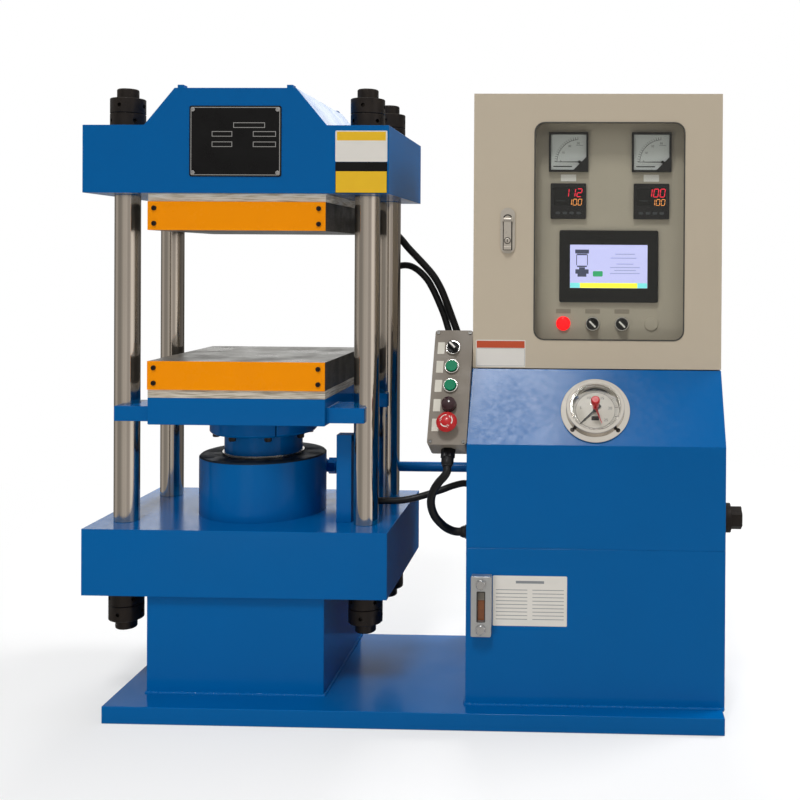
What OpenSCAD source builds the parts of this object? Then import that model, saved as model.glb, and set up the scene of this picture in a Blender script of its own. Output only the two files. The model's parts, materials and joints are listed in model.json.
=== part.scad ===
// Four-column plate press for vulcanizing rubber, with its hydraulic cabinet and electrical box.
// Millimetres, +Z up, -Y to the front. The origin is on the floor, on the axis of the ram.

/* [Base and pedestal] */
// Ram axis to the left end of the base plate
base_left = 234; // [200:1:300]
// Length of the base plate
base_w = 1180; // [1120:5:1300]
// Ram axis to the front edge of the base plate
base_front = 240; // [215:1:280]
// Depth of the base plate
base_d = 405; // [380:5:480]
// Thickness of the base plate
base_t = 33; // [20:1:45]
// Width of the pedestal
pedestal_w = 350; // [300:5:380]
// Ram axis to the front of the pedestal
pedestal_front = 175; // [150:1:190]
// Depth of the pedestal
pedestal_d = 330; // [300:5:340]
// Height of the pedestal
pedestal_h = 193; // [150:1:260]
// Wall of the pedestal
pedestal_wall = 20; // [10:1:30]

/* [Press frame] */
// Width of the lower block and the upper beam
frame_w = 600; // [580:5:640]
// Depth of the lower block and the upper beam
frame_d = 374; // [340:2:400]
// Height of the lower block
block_h = 130; // [100:1:160]
// Length of the columns between block and beam
column_clear = 656; // [620:1:720]
// Diameter of the columns
column_d = 50; // [44:1:56]
// Ram axis to the column axes, sideways
column_x = 243; // [235:1:250]
// Ram axis to the column axes, front to back
column_y = 113; // [105:1:122]
// Diameter of the threaded column ends
stub_d = 42; // [36:1:43]
// How far the column ends stand out of their nuts
stub_proud = 20; // [10:1:30]
// Height of the beam at its ears
ear_h = 132; // [100:1:160]
// Height of the crest above the ears
crest_h = 72; // [40:1:90]
// Width of the crest at its top
crest_w = 238; // [180:2:260]
// Width of the crest at the ears
crest_foot_w = 358; // [320:2:380]
// Diameter of the ring nuts
nut_d = 68; // [60:1:76]
// Height of one ring nut
nut_h = 30; // [22:1:36]
// Height of the washers under the lower nuts
washer_h = 6; // [3:1:10]
// Diameter of the spanner holes in the nuts
spanner_d = 8; // [5:1:10]
// Width of the tabs on the crest's corners
tab_w = 12; // [8:1:20]
// Depth of the tabs
tab_d = 20; // [12:1:30]
// Height of the tabs
tab_h = 6; // [4:1:12]

/* [Platens] */
// Side of the square platens
platen_w = 350; // [320:2:370]
// Thickness of a platen
platen_t = 56; // [45:1:65]
// Thickness of an insulation sheet
insulation_t = 16; // [10:1:20]
// Thickness of the front covers
cover_t = 3; // [2:0.5:5]
// Daylight between the platens with the ram down
daylight = 256; // [245:1:270]
// Diameter of the screw holes in the covers
cover_hole_d = 8; // [5:0.5:10]
// Screw holes to the cover's ends
cover_hole_in = 13; // [10:1:20]
// Height between the screw holes of a cover
cover_hole_gap = 30; // [20:1:36]

/* [Ram and cylinder] */
// Travel of the ram
stroke = 250; // [150:5:250]
// Diameter of the ram
ram_d = 160; // [140:2:170]
// Diameter of the cylinder above the block
cylinder_d = 260; // [240:2:280]
// Height of the cylinder above the block
cylinder_h = 120; // [90:1:140]
// Diameter of the barrel through the block
barrel_d = 230; // [210:2:236]
// Ram left in the cylinder at the end of its travel
ram_hold = 141; // [100:1:150]
// Thickness of the barrel's floor
barrel_floor = 40; // [25:1:50]
// Height of the moving beam
moving_h = 53; // [45:1:65]
// Thickness of the guide ears
guide_t = 30; // [20:1:34]
// Guide ears above the underside of the moving beam
guide_lift = 4; // [2:1:10]
// Ram axis to the ends of the guide ears
guide_reach = 249; // [245:1:255]
// Half depth of a guide ear
guide_half = 47; // [38:1:52]
// Diameter of the clamp ring
clamp_d = 219; // [205:1:230]
// Height of the clamp ring
clamp_h = 37; // [30:1:45]
// Gap between the halves of the clamp ring
clamp_slit = 2; // [1:0.5:5]
// Diameter of the ram's neck in the clamp ring
neck_d = 140; // [120:1:150]
// Diameter of the wiper ring
wiper_d = 168; // [165:1:200]
// Height of the wiper ring
wiper_h = 5; // [3:0.5:10]
// Outer diameter of the oil pipe
pipe_d = 22; // [16:1:24]
// Height of the oil pipe above the block
pipe_lift = 62; // [45:1:75]
// Ram axis to the oil pipe
pipe_y = 150; // [148:1:152]
// Bearing of the cylinder port, from the right towards the back
port_turn = 60; // [55:1:65]

/* [Switch post] */
// Side of the square switch post
post_w = 30; // [24:1:32]
// Height of the switch post
post_h = 176; // [150:1:180]
// Gap between the switch post and the front column
post_gap = 6; // [4:1:10]
// Front of the switch post
post_y = -110; // [-112:1:-106]
// Diameter of the proximity switch
switch_d = 18; // [12:1:18]
// Gap between the switch and the ear that it senses
switch_gap = 6; // [3:1:10]
// Length of the proximity switch
switch_l = 80; // [70:1:90]
// Thickness of the switch's shelf
shelf_t = 5; // [4:1:8]

/* [Oil tank and cabinet] */
// Left wall of the cabinet
cabinet_x = 455; // [445:1:460]
// Width of the cabinet
cabinet_w = 495; // [480:1:510]
// Ram axis to the front of the cabinet
cabinet_front = 201; // [190:1:210]
// Ram axis to the back of the cabinet
cabinet_back = 165; // [164:1:190]
// Height of the oil tank
tank_h = 301; // [290:1:310]
// Wall of the oil tank
tank_wall = 4; // [3:0.5:6]
// Sheet of the cabinet and its floor
sheet_t = 3; // [2:0.5:4]
// Height of the upright front above the tank
front_h = 198; // [180:1:220]
// Height of the sloped front
slope_rise = 136; // [130:1:150]
// How far the sloped front leans back
slope_back = 89; // [80:1:100]
// Border round the rear opening
rear_border = 25; // [15:1:40]
// Thickness of the rear cover
rear_t = 2; // [1.5:0.5:3]
// Louvres in one column of the rear cover
louvre_count = 8; // [4:1:10]
// Height of one louvre slot
louvre_h = 6; // [4:1:9]
// Gap between two louvre slots
louvre_gap = 8.4; // [6:0.2:12]
// Width of one louvre slot
louvre_w = 150; // [100:5:180]

/* [Pump unit and pressure valve] */
// Diameter of the motor
motor_d = 150; // [120:2:170]
// Cabinet's left wall to the axis of the motor
motor_in = 198; // [150:1:230]
// Length of the motor
motor_l = 240; // [200:5:280]
// Diameter of the round valve body
valve_d = 58; // [45:1:64]
// How far the valve body stands out of the cabinet
valve_proud = 21; // [15:1:30]
// Height of the valve above the cabinet's floor
valve_lift = 37; // [34:1:60]
// How far the valve sits in front of the press axis
valve_front = 100; // [0:1:120]
// Width across the flats of the adjuster
adjuster_flats = 40; // [30:1:44]
// Length of the adjuster
adjuster_l = 22; // [15:1:30]
// Diameter of the adjuster's spindle
spindle_d = 14; // [10:1:18]

/* [Level gauge] */
// Width of the level gauge
level_w = 39; // [30:1:40]
// Height of the level gauge
level_h = 115; // [100:1:130]
// Depth of the level gauge
level_t = 18; // [12:1:24]
// Cabinet's left wall to the middle of the level gauge
level_in = 31; // [25:1:60]
// Floor to the middle of the level gauge
level_z = 227; // [180:1:240]
// Width of its window
level_window_w = 14; // [10:1:18]
// Height of its window
level_window_h = 56; // [40:1:60]

/* [Pressure gauge] */
// Diameter of the gauge flange
gauge_d = 135; // [128:1:138]
// Cabinet's left wall to the gauge
gauge_in = 246; // [150:1:340]
// Gauge axis from the foot of the slope, along it
gauge_up = 73; // [70:1:85]
// Diameter of the gauge's rim
rim_d = 112; // [108:1:116]
// Height of the gauge's rim
rim_h = 22; // [16:1:30]
// Inner diameter of the gauge's rim
dial_d = 100; // [92:1:102]
// Depth of the case behind the panel
gauge_depth = 45; // [30:1:60]
// Height of the clear dome
dome_h = 16; // [10:1:22]
// Thickness of the clear dome
dome_t = 3; // [2:0.5:4]
// Diameter of the red knob
knob_d = 17; // [14:1:22]
// Height of the red knob
knob_h = 14; // [10:1:18]
// Width across the flats of the gauge's socket
socket_flats = 22; // [17:1:27]
// Length of the gauge's socket
socket_l = 20; // [15:1:30]
// Length of the gauge pointer from its pivot
pointer_l = 40; // [30:1:44]

/* [Electrical box and door] */
// Height of the electrical box
ebox_h = 549; // [530:1:570]
// Sheet of the electrical box and its door
ebox_t = 2; // [1.5:0.5:2.5]
// Depth of the door pan
door_t = 18; // [14:1:20]
// Gap for the seal between door and box
seal_gap = 1.5; // [1:0.5:4]
// Width of the window
window_w = 298; // [280:1:300]
// Height of the window
window_h = 433; // [425:1:440]
// Corner radius of the window
window_r = 20; // [10:1:30]
// Middle of the window, from the left wall
window_in = 271.5; // [265:0.5:275]
// Middle of the window above the floor of the box
window_up = 275.5; // [270:0.5:280]
// Thickness of the window pane
pane_t = 4; // [3:0.5:5]
// How far the pane laps over the sheet
pane_lap = 12; // [8:1:20]
// Hinge axis to the door's side and front
hinge_in = 5; // [4.8:0.1:5.5]
// Diameter of the hinge pins
pin_d = 5; // [4:0.5:5]
// Height of a hinge
hinge_h = 60; // [40:1:80]
// Hinges to the ends of the door
hinge_end = 110; // [90:1:160]

/* [Lock] */
// Width of the lock plate
lock_w = 29; // [26:1:34]
// Height of the lock plate
lock_h = 91; // [85:1:100]
// Diameter of the lock's barrel
lock_barrel_d = 20; // [16:1:24]
// Door's left side to the lock
lock_in = 69.5; // [50:0.5:85]
// Width of the lever
lever_w = 15; // [12:1:17]
// Length of the lever
lever_l = 60; // [50:1:64]
// Diameter of the lever's pin
lever_pin_d = 4; // [3:0.5:5]

/* [Instrument panel] */
// Door front to the instrument panel
panel_recess = 45; // [40:1:60]
// Thickness of the instrument panel
panel_t = 2; // [1.5:0.5:3]
// Depth of the panel's side flanges
panel_flange = 15; // [10:1:25]
// Side of an ammeter
ammeter_w = 80; // [76:1:84]
// Diameter of an ammeter behind the panel
ammeter_body_d = 68; // [60:1:72]
// How far an ammeter stands out of the panel
ammeter_proud = 10; // [8:0.5:12]
// Ammeters and controllers to the window's middle
column_gap = 84; // [80:1:95]
// Height of the ammeters above the window's middle
ammeter_up = 161.5; // [155:0.5:166]
// Side of a temperature controller
controller_w = 72; // [68:1:76]
// Side of a controller behind the panel
controller_body_w = 66; // [60:1:67]
// How far a controller stands out of the panel
controller_proud = 8; // [5:0.5:10]
// Height of the controllers above the window's middle
controller_up = 62; // [55:0.5:68]
// Width of the touch panel
touch_w = 200; // [190:1:210]
// Height of the touch panel
touch_h = 146; // [138:1:150]
// Touch panel's face past its body, all round
touch_rim = 5; // [3:0.5:8]
// How far the touch panel stands out
touch_proud = 8; // [5:0.5:10]
// Middle of the touch panel below the window's middle
touch_down = 70; // [68:0.5:76]
// Pitch of the switches in the bottom row
row_pitch = 59.5; // [45:0.5:62]
// Bottom row below the window's middle
row_down = 186.5; // [180:0.5:190]
// Length of the ammeter needles
needle_l = 50; // [40:1:54]

/* [Push buttons] */
// Diameter of the bezels
bezel_d = 29; // [27:0.5:30]
// Height of the bezels
bezel_h = 5; // [4:0.5:6]
// Diameter of the holes for the switches
switch_hole_d = 22.5; // [22.5:0.1:23]
// Diameter of the caps and selector bodies
cap_d = 23; // [20:0.5:24]
// Diameter of the switch stems
stem_d = 15.4; // [12:0.2:16]
// Depth of the switch barrels behind their panel
barrel_l = 26; // [20:1:30]
// Travel of the push buttons
button_travel = 4; // [2:0.5:4]
// Diameter of the spigot in the emergency stop's head
spigot_d = 8; // [6:0.5:10]
// Diameter of the emergency stop's head
mushroom_d = 40; // [34:1:44]
// Height of the emergency stop's head
mushroom_h = 16; // [12:1:20]
// Travel of the emergency stop
stop_travel = 6; // [4:0.5:6]

/* [Push-button box] */
// Width of the push-button box
pendant_w = 76; // [70:1:80]
// Length of the push-button box
pendant_l = 238; // [230:1:250]
// Depth of the push-button box
pendant_d = 60; // [52:1:66]
// Depth of its lid
lid_d = 14; // [10:1:18]
// Corner radius
pendant_r = 6; // [3:0.5:10]
// Wall of box and lid
pendant_wall = 3; // [2:0.5:4]
// Lean of the push-button box from the upright
pendant_tilt = 27.5; // [26:0.5:30]
// Middle of its front face, front to back
pendant_y = -149.5; // [-152:0.5:-146]
// Middle of its front face above the floor
pendant_z = 637.5; // [632:0.5:642]
// Pitch of its controls
pendant_pitch = 40; // [38:0.5:42]

/* [Hidden] */
$fn = 64;
// Clearance between pieces that stay still
fit = 0.3;
// Radial clearance of running fits
run = 0.05;
// Overshoot of cutting solids
cut = 1;
// Clear width of the guide notches round the columns
guide_gap = 0.6;
notch_d = column_d + 2 * guide_gap;
// Chamfer on the column ends and nuts
chamfer = 2;

// Heights of the press, from the floor up
block_z0 = base_t + pedestal_h;
block_z1 = block_z0 + block_h;
beam_z0 = block_z1 + column_clear;
ear_z1 = beam_z0 + ear_h;
crest_z1 = ear_z1 + crest_h;
upper_platen_z0 = beam_z0 - insulation_t - platen_t;
lower_platen_z1 = upper_platen_z0 - daylight;
lower_platen_z0 = lower_platen_z1 - platen_t;
moving_z1 = lower_platen_z0 - insulation_t;
moving_z0 = moving_z1 - moving_h;
guide_z0 = moving_z0 + guide_lift;
cylinder_z1 = block_z1 + cylinder_h;
ram_z0 = cylinder_z1 - stroke - ram_hold;
barrel_z0 = ram_z0 - barrel_floor;
clamp_z0 = moving_z0 - clamp_h;
neck_lift = 10;
neck_h = 16;
upper_stub_z1 = ear_z1 + 2 * nut_h + stub_proud;
lower_stub_z0 = block_z0 - washer_h - 2 * nut_h - stub_proud;
port_z = block_z1 + pipe_lift;
port_d = 30;
port_depth = 12;
elbow_r = pipe_y / sin(port_turn);
elbow_x = elbow_r * cos(port_turn);

// Places of the cabinet
cabinet_x1 = cabinet_x + cabinet_w;
tank_z1 = base_t + tank_h;
floor_z1 = tank_z1 + sheet_t;
slope_y0 = -cabinet_front;
slope_z0 = tank_z1 + front_h;
slope_y1 = slope_y0 + slope_back;
slope_z1 = slope_z0 + slope_rise;
slope_tilt = atan(slope_back / slope_rise);
inner_foot_z = slope_z0 - sheet_t * tan(slope_tilt / 2);
inner_top_y = slope_y1 + sheet_t * (1 - sin(slope_tilt)) / cos(slope_tilt);
valve_z = floor_z1 + valve_lift;
valve_block = 80;
gauge_x = cabinet_x + gauge_in;
gauge_y = slope_y0 + gauge_up * sin(slope_tilt);
gauge_z = slope_z0 + gauge_up * cos(slope_tilt);
flange_t = 4;
dial_z = 3;
pivot_d = 3;
knob_stem_d = 8;
dome_r = (dial_d * dial_d / 4 + dome_h * dome_h) / (2 * dome_h);

// Places of the electrical box
ebox_z0 = slope_z1;
ebox_z1 = ebox_z0 + ebox_h;
door_y0 = slope_y1;
door_y1 = door_y0 + door_t;
ebox_y0 = door_y1 + seal_gap;
door_gap = [1, 2];
door_z0 = ebox_z0 + door_gap[1];
door_x0 = cabinet_x + door_gap[0];
hinge_x = cabinet_x1 - hinge_in;
hinge_y = door_y0 + hinge_in;
hinge_zs = [door_z0 + hinge_end, ebox_z1 - hinge_end];
knuckle_t = 4;
window_x = cabinet_x + window_in;
window_z = ebox_z0 + window_up;
panel_y = door_y0 + panel_recess;
panel_edge = 17;
lock_x = cabinet_x + lock_in;
lock_z = window_z + 0.5;
lock_t = 4;
lever_drop = 22;
lever_z = 8;
instrument_x = window_x + 1.5;
instrument_xs = [instrument_x - column_gap, instrument_x + column_gap];
ammeter_z = window_z + ammeter_up;
controller_z = window_z + controller_up;
touch_z = window_z - touch_down;
touch_body = [touch_w - 2 * touch_rim, touch_h - 2 * touch_rim];
row_z = window_z - row_down;
row_in = 91.5;
row_x = [for (i = [0:3]) window_x - row_in + i * row_pitch];
needle_pivot = [22, -20];
needle_lift = 6.5;
needle_pin_d = 2;

// Places of the push-button box
pendant_x = cabinet_x - fit - pendant_w / 2;
pendant_rows = [for (i = [2:-1:-2]) i * pendant_pitch];
bezel_floor = 1.2;
cap_lift = bezel_floor + button_travel + fit;
cap_h = 4;
grip_h = 10;
stop_gap = 3;
head_lift = bezel_h + stop_travel + stop_gap;
gland_d = 24;

// Conduits and cable: outer diameters and the points of their routes, end to end
conduit_d = 16;
lower_conduit_d = 15;
cable_d = 14;
tube_sides = 10;
upper_route = [
    [200, 150, 966], [212, 150, 966], [228, 150, 961], [246, 150, 947], [263, 150, 930], [278, 150, 912],
    [297, 150, 892], [318, 150, 870], [338, 150, 846], [354, 150, 818], [366, 150, 789],
    [377, 149, 760], [388, 147, 731], [399, 143, 702], [409, 137, 674], [417, 130, 648],
    [422, 125, 627], [422, 125, 615]
];
lower_route = [
    [50, 200, 656], [50, 206, 656], [52, 223, 654], [60, 241, 646], [74, 253, 632], [90, 256, 616],
    [109, 255, 605], [131, 252, 602], [153, 248, 609], [171, 243, 626], [181, 237, 650],
    [188, 230, 683], [195, 222, 718], [202, 214, 753], [209.5, 206, 790], [217.5, 197, 826],
    [231, 187, 853], [252, 177, 869], [277, 167, 871], [299, 160, 861], [320, 157, 841],
    [335, 157, 816], [348, 157, 788], [360, 156, 759], [370, 152, 729], [380, 143, 700],
    [392, 128, 672], [404.5, 111.5, 650], [414, 100, 633.5], [418.5, 94.3, 623],
    [421.1, 91.1, 611.5], [422, 90, 600], [422, 90, 595]
];
pendant_route = [
    [417, -193.8, 487.4], [417, -198.4, 478.6], [412, -201, 470], [403, -200, 460], [394, -197, 447],
    [388, -193, 433], [385, -187, 418], [386, -180, 402], [391, -172, 386], [399, -164, 373],
    [409, -155, 361], [420, -147, 353], [430, -144, 350], [437, -144, 350]
];
switch_route = [
    [228, -74, 450], [228, -74, 436], [229, -73, 420], [234, -71, 406], [243, -67, 396],
    [255, -61, 390], [268, -55, 388], [284, -50, 387], [300, -46, 387], [318, -41, 389],
    [338, -36, 393], [360, -31, 399], [384, -26, 406], [404, -22, 413], [424, -20, 418], [437, -20, 418]
];
post_x = column_x - column_d / 2 - post_gap - post_w;
switch_in = [16, 6];
switch_place = [post_x + post_w + switch_in[0], post_y + post_w + switch_in[1]];
shelf_z = guide_z0 - switch_gap - switch_l / 2;

function unit(v) = v / norm(v);
function along(p) = [for (i = [0:len(p) - 1]) unit(p[min(i + 1, len(p) - 1)] - p[max(i - 1, 0)])];
function shed(v, t) = unit(v - (v * t) * t);
function sideways(t) = [
    for (i = 0, u = shed([0.31, 0.87, 0.4], t[0]); i < len(t);
         i = i + 1, u = shed(u, t[min(i, len(t) - 1)])) u
];

// Round tube along a route, with flat ends
module tube(route, d) {
    n = tube_sides;
    last = len(route) - 1;
    t = along(route);
    u = sideways(t);
    points = [
        for (i = [0:last], k = [0:n - 1])
            route[i] + d / 2 * (cos(k * 360 / n) * u[i] + sin(k * 360 / n) * cross(t[i], u[i]))
    ];
    walls = [
        for (i = [0:last - 1], k = [0:n - 1], half = [0, 1])
            let (a = i * n + k, b = i * n + (k + 1) % n)
                half == 0 ? [a, b + n, b] : [a, a + n, b + n]
    ];
    caps = concat(
        [for (k = [1:n - 2]) [0, k, k + 1]],
        [for (k = [1:n - 2]) [last * n, last * n + k + 1, last * n + k]]
    );
    polyhedron(points, concat(walls, caps));
}

// Puts children on a face that looks to the front and leans back by a tilt: +Z comes out of the face
module facing(x, y, z, tilt = 0) {
    translate([x, y, z]) rotate([90 - tilt, 0, 0]) children();
}

module at_columns() {
    for (sx = [-1, 1], sy = [-1, 1]) translate([sx * column_x, sy * column_y, 0]) children();
}

module ring(od, id, h) {
    difference() {
        cylinder(d = od, h = h);
        translate([0, 0, -cut]) cylinder(d = id, h = h + 2 * cut);
    }
}

// Box centred on X and Y, with round upright edges
module round_box(w, d, h, r) {
    translate([-w / 2 + r, -d / 2, 0]) cube([w - 2 * r, d, h]);
    translate([-w / 2, -d / 2 + r, 0]) cube([w, d - 2 * r, h]);
    for (sx = [-1, 1], sy = [-1, 1]) {
        translate([sx * (w / 2 - r), sy * (d / 2 - r), 0]) cylinder(r = r, h = h);
    }
}

// Box centred on X and Y
module plain_box(w, d, h) {
    translate([-w / 2, -d / 2, 0]) cube([w, d, h]);
}

// Hexagonal nut with its flats known
module hex(flats, h) {
    cylinder(d = flats / cos(30), h = h, $fn = 6);
}

module on_gauge() {
    facing(gauge_x, gauge_y, gauge_z, slope_tilt) children();
}

module on_panel(x, z) {
    facing(x, panel_y, z) children();
}

module on_pendant(row) {
    facing(pendant_x, pendant_y, pendant_z, pendant_tilt) translate([0, row, 0]) children();
}

module base_plate() {
    color("steelblue") translate([-base_left, -base_front, 0]) cube([base_w, base_d, base_t]);
}

module pedestal() {
    inner_w = pedestal_w - 2 * pedestal_wall;
    inner_d = pedestal_d - 2 * pedestal_wall;
    color("steelblue") translate([-pedestal_w / 2, -pedestal_front, base_t]) difference() {
        cube([pedestal_w, pedestal_d, pedestal_h]);
        translate([pedestal_wall, pedestal_wall, -cut]) cube([inner_w, inner_d, pedestal_h + 2 * cut]);
    }
}

module lower_block() {
    color("steelblue") difference() {
        translate([0, 0, block_z0]) plain_box(frame_w, frame_d, block_h);
        translate([0, 0, block_z0 - cut]) {
            at_columns() cylinder(d = stub_d + 2 * fit, h = block_h + 2 * cut);
            cylinder(d = barrel_d + 2 * fit, h = block_h + 2 * cut);
        }
    }
}

module tie_columns() {
    color("silver") at_columns() {
        translate([0, 0, block_z1]) cylinder(d = column_d, h = column_clear);
        translate([0, 0, lower_stub_z0 + chamfer]) {
            cylinder(d = stub_d, h = upper_stub_z1 - lower_stub_z0 - 2 * chamfer);
        }
        translate([0, 0, lower_stub_z0]) cylinder(d1 = stub_d - 2 * chamfer, d2 = stub_d, h = chamfer);
        translate([0, 0, upper_stub_z1 - chamfer]) {
            cylinder(d1 = stub_d, d2 = stub_d - 2 * chamfer, h = chamfer);
        }
    }
}

// One ring nut with spanner holes round its side and chamfered rims
module ring_nut() {
    hole_depth = (nut_d - stub_d) / 4;
    difference() {
        union() {
            translate([0, 0, chamfer / 2]) cylinder(d = nut_d, h = nut_h - chamfer);
            cylinder(d1 = nut_d - chamfer, d2 = nut_d, h = chamfer / 2);
            translate([0, 0, nut_h - chamfer / 2]) {
                cylinder(d1 = nut_d, d2 = nut_d - chamfer, h = chamfer / 2);
            }
        }
        translate([0, 0, -cut]) cylinder(d = stub_d + 2 * fit, h = nut_h + 2 * cut);
        for (a = [45:90:315]) rotate([0, 0, a]) translate([nut_d / 2 - hole_depth, 0, nut_h / 2]) {
            rotate([0, 90, 0]) cylinder(d = spanner_d, h = hole_depth + cut);
        }
    }
}

module tie_nuts() {
    nut_step = nut_h + fit;
    color("dimgray") at_columns() {
        for (i = [0, 1]) {
            translate([0, 0, ear_z1 + i * nut_step]) rotate([0, 0, i * 40]) ring_nut();
            translate([0, 0, block_z0 - washer_h - (i + 1) * nut_step]) rotate([0, 0, i * 40]) ring_nut();
        }
        translate([0, 0, block_z0 - washer_h]) ring(nut_d, stub_d + 2 * fit, washer_h);
    }
}

module upper_beam() {
    color("steelblue") difference() {
        union() {
            translate([0, frame_d / 2, beam_z0]) rotate([90, 0, 0]) linear_extrude(frame_d) polygon([
                [-frame_w / 2, 0], [frame_w / 2, 0], [frame_w / 2, ear_h], [crest_foot_w / 2, ear_h],
                [crest_w / 2, ear_h + crest_h], [-crest_w / 2, ear_h + crest_h],
                [-crest_foot_w / 2, ear_h], [-frame_w / 2, ear_h]
            ]);
            for (sx = [-1, 1], sy = [-1, 1]) {
                translate([sx * (crest_w / 2 - tab_w), sy * (frame_d / 2 - tab_d / 2), crest_z1 - cut]) {
                    plain_box(tab_w, tab_d, tab_h + cut);
                }
            }
        }
        translate([0, 0, beam_z0 - cut]) at_columns() cylinder(d = stub_d + 2 * fit, h = ear_h + 2 * cut);
    }
}

module upper_insulation() {
    color("beige") translate([0, 0, beam_z0 - insulation_t]) plain_box(platen_w, platen_w, insulation_t);
}

module platen() {
    plain_box(platen_w, platen_w, platen_t);
}

// Front cover of a platen, with its four screw holes
module cover() {
    hole_x = platen_w / 2 - cover_hole_in;
    difference() {
        translate([0, -platen_w / 2 - cover_t / 2, 0]) plain_box(platen_w, cover_t, platen_t);
        for (sx = [-1, 1], sz = [-1, 1]) {
            facing(sx * hole_x, -platen_w / 2 + cut, platen_t / 2 + sz * cover_hole_gap / 2) {
                cylinder(d = cover_hole_d, h = cover_t + 2 * cut);
            }
        }
    }
}

module upper_platen() {
    color("gray") translate([0, 0, upper_platen_z0]) platen();
}

module upper_cover() {
    color("orange") translate([0, 0, upper_platen_z0]) cover();
}

module cylinder_port() {
    seat = cylinder_d / 2 - port_depth;
    rotate([0, 0, port_turn]) translate([seat, 0, port_z]) rotate([0, 90, 0]) children();
}

module press_cylinder() {
    rim = 3;
    color("steelblue") difference() {
        union() {
            translate([0, 0, barrel_z0]) cylinder(d = barrel_d, h = block_z1 - barrel_z0 + cut);
            translate([0, 0, block_z1]) cylinder(d = cylinder_d, h = cylinder_h - rim);
            translate([0, 0, cylinder_z1 - rim]) {
                cylinder(d1 = cylinder_d, d2 = cylinder_d - 2 * rim, h = rim);
            }
        }
        translate([0, 0, ram_z0]) cylinder(d = ram_d + 2 * run, h = cylinder_z1);
        cylinder_port() cylinder(d = port_d + 2 * fit, h = cylinder_d);
    }
}

module wiper_ring() {
    color("silver") translate([0, 0, cylinder_z1]) ring(wiper_d, ram_d + 2 * run, wiper_h);
}

module oil_pipe() {
    nut_l = 16;
    nut_flats = 32;
    inside_l = 40;
    elbow_wall = 3;
    color("steelblue") {
        cylinder_port() cylinder(d = port_d, h = elbow_r - cylinder_d / 2 + port_depth);
        translate([elbow_x, pipe_y, port_z]) {
            sphere(d = port_d + 2 * elbow_wall);
            rotate([0, 90, 0]) {
                cylinder(d = pipe_d, h = cabinet_x + inside_l - elbow_x);
                translate([0, 0, port_d / 2]) hex(nut_flats, nut_l);
                translate([0, 0, cabinet_x - elbow_x - nut_l]) hex(nut_flats, nut_l);
            }
        }
    }
}

module switch_post() {
    shelf_in = 7;
    shelf_w = switch_place[0] + switch_d - post_x - post_w;
    shelf_front = 3;
    shelf_back = 5;
    shelf_d = switch_d + shelf_front + shelf_back;
    color("steelblue") difference() {
        union() {
            translate([post_x, post_y, block_z1]) cube([post_w, post_w, post_h]);
            translate([post_x + post_w - shelf_in, switch_place[1] - switch_d / 2 - shelf_front, shelf_z]) {
                cube([shelf_w + shelf_in, shelf_d, shelf_t]);
            }
        }
        translate([switch_place[0], switch_place[1], shelf_z - cut]) {
            cylinder(d = switch_d + 2 * fit, h = shelf_t + 2 * cut);
        }
    }
}

module proximity_switch() {
    lock_nut_t = 4;
    lock_nut_flats = switch_d + 6;
    boot_d = 18;
    switch_z0 = guide_z0 - switch_gap - switch_l;
    color("dimgray") translate([switch_place[0], switch_place[1], 0]) {
        translate([0, 0, switch_z0]) cylinder(d = switch_d, h = switch_l);
        translate([0, 0, switch_route[0][2]]) cylinder(d = boot_d, h = switch_z0 - switch_route[0][2] + cut);
        translate([0, 0, shelf_z + shelf_t]) hex(lock_nut_flats, lock_nut_t);
        translate([0, 0, shelf_z - lock_nut_t]) hex(lock_nut_flats, lock_nut_t);
    }
}

module oil_tank() {
    depth = cabinet_front + cabinet_back;
    color("steelblue") translate([cabinet_x, -cabinet_front, base_t]) difference() {
        cube([cabinet_w, depth, tank_h]);
        translate([tank_wall, tank_wall, tank_wall]) {
            cube([cabinet_w - 2 * tank_wall, depth - 2 * tank_wall, tank_h]);
        }
    }
}

// Extrudes an outline in the side view, given as front-to-back and height, across the cabinet
module across(outline, x, w) {
    translate([x, 0, 0]) rotate([90, 0, 90]) linear_extrude(w) polygon(outline);
}

module cabinet_body() {
    outer = [
        [slope_y0, tank_z1], [cabinet_back, tank_z1], [cabinet_back, slope_z1],
        [slope_y1, slope_z1], [slope_y0, slope_z0]
    ];
    inner = [
        [slope_y0 + sheet_t, floor_z1], [cabinet_back - sheet_t, floor_z1],
        [cabinet_back - sheet_t, slope_z1 - sheet_t], [inner_top_y, slope_z1 - sheet_t],
        [slope_y0 + sheet_t, inner_foot_z]
    ];
    opening_h = slope_z1 - floor_z1 - 2 * rear_border;
    color("steelblue") difference() {
        across(outer, cabinet_x, cabinet_w);
        across(inner, cabinet_x + sheet_t, cabinet_w - 2 * sheet_t);
        translate([cabinet_x + rear_border, cabinet_back - sheet_t - cut, floor_z1 + rear_border]) {
            cube([cabinet_w - 2 * rear_border, sheet_t + 2 * cut, opening_h]);
        }
        on_gauge() translate([0, 0, -sheet_t - cut]) cylinder(d = dial_d + 2 * fit, h = sheet_t + 2 * cut);
        translate([cabinet_x - cut, pipe_y, port_z]) rotate([0, 90, 0]) {
            cylinder(d = pipe_d + 2 * fit, h = sheet_t + 2 * cut);
        }
        translate([cabinet_x1 - sheet_t - cut, -valve_front, valve_z]) rotate([0, 90, 0]) {
            cylinder(d = valve_d + 2 * fit, h = sheet_t + 2 * cut);
        }
    }
}

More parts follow.
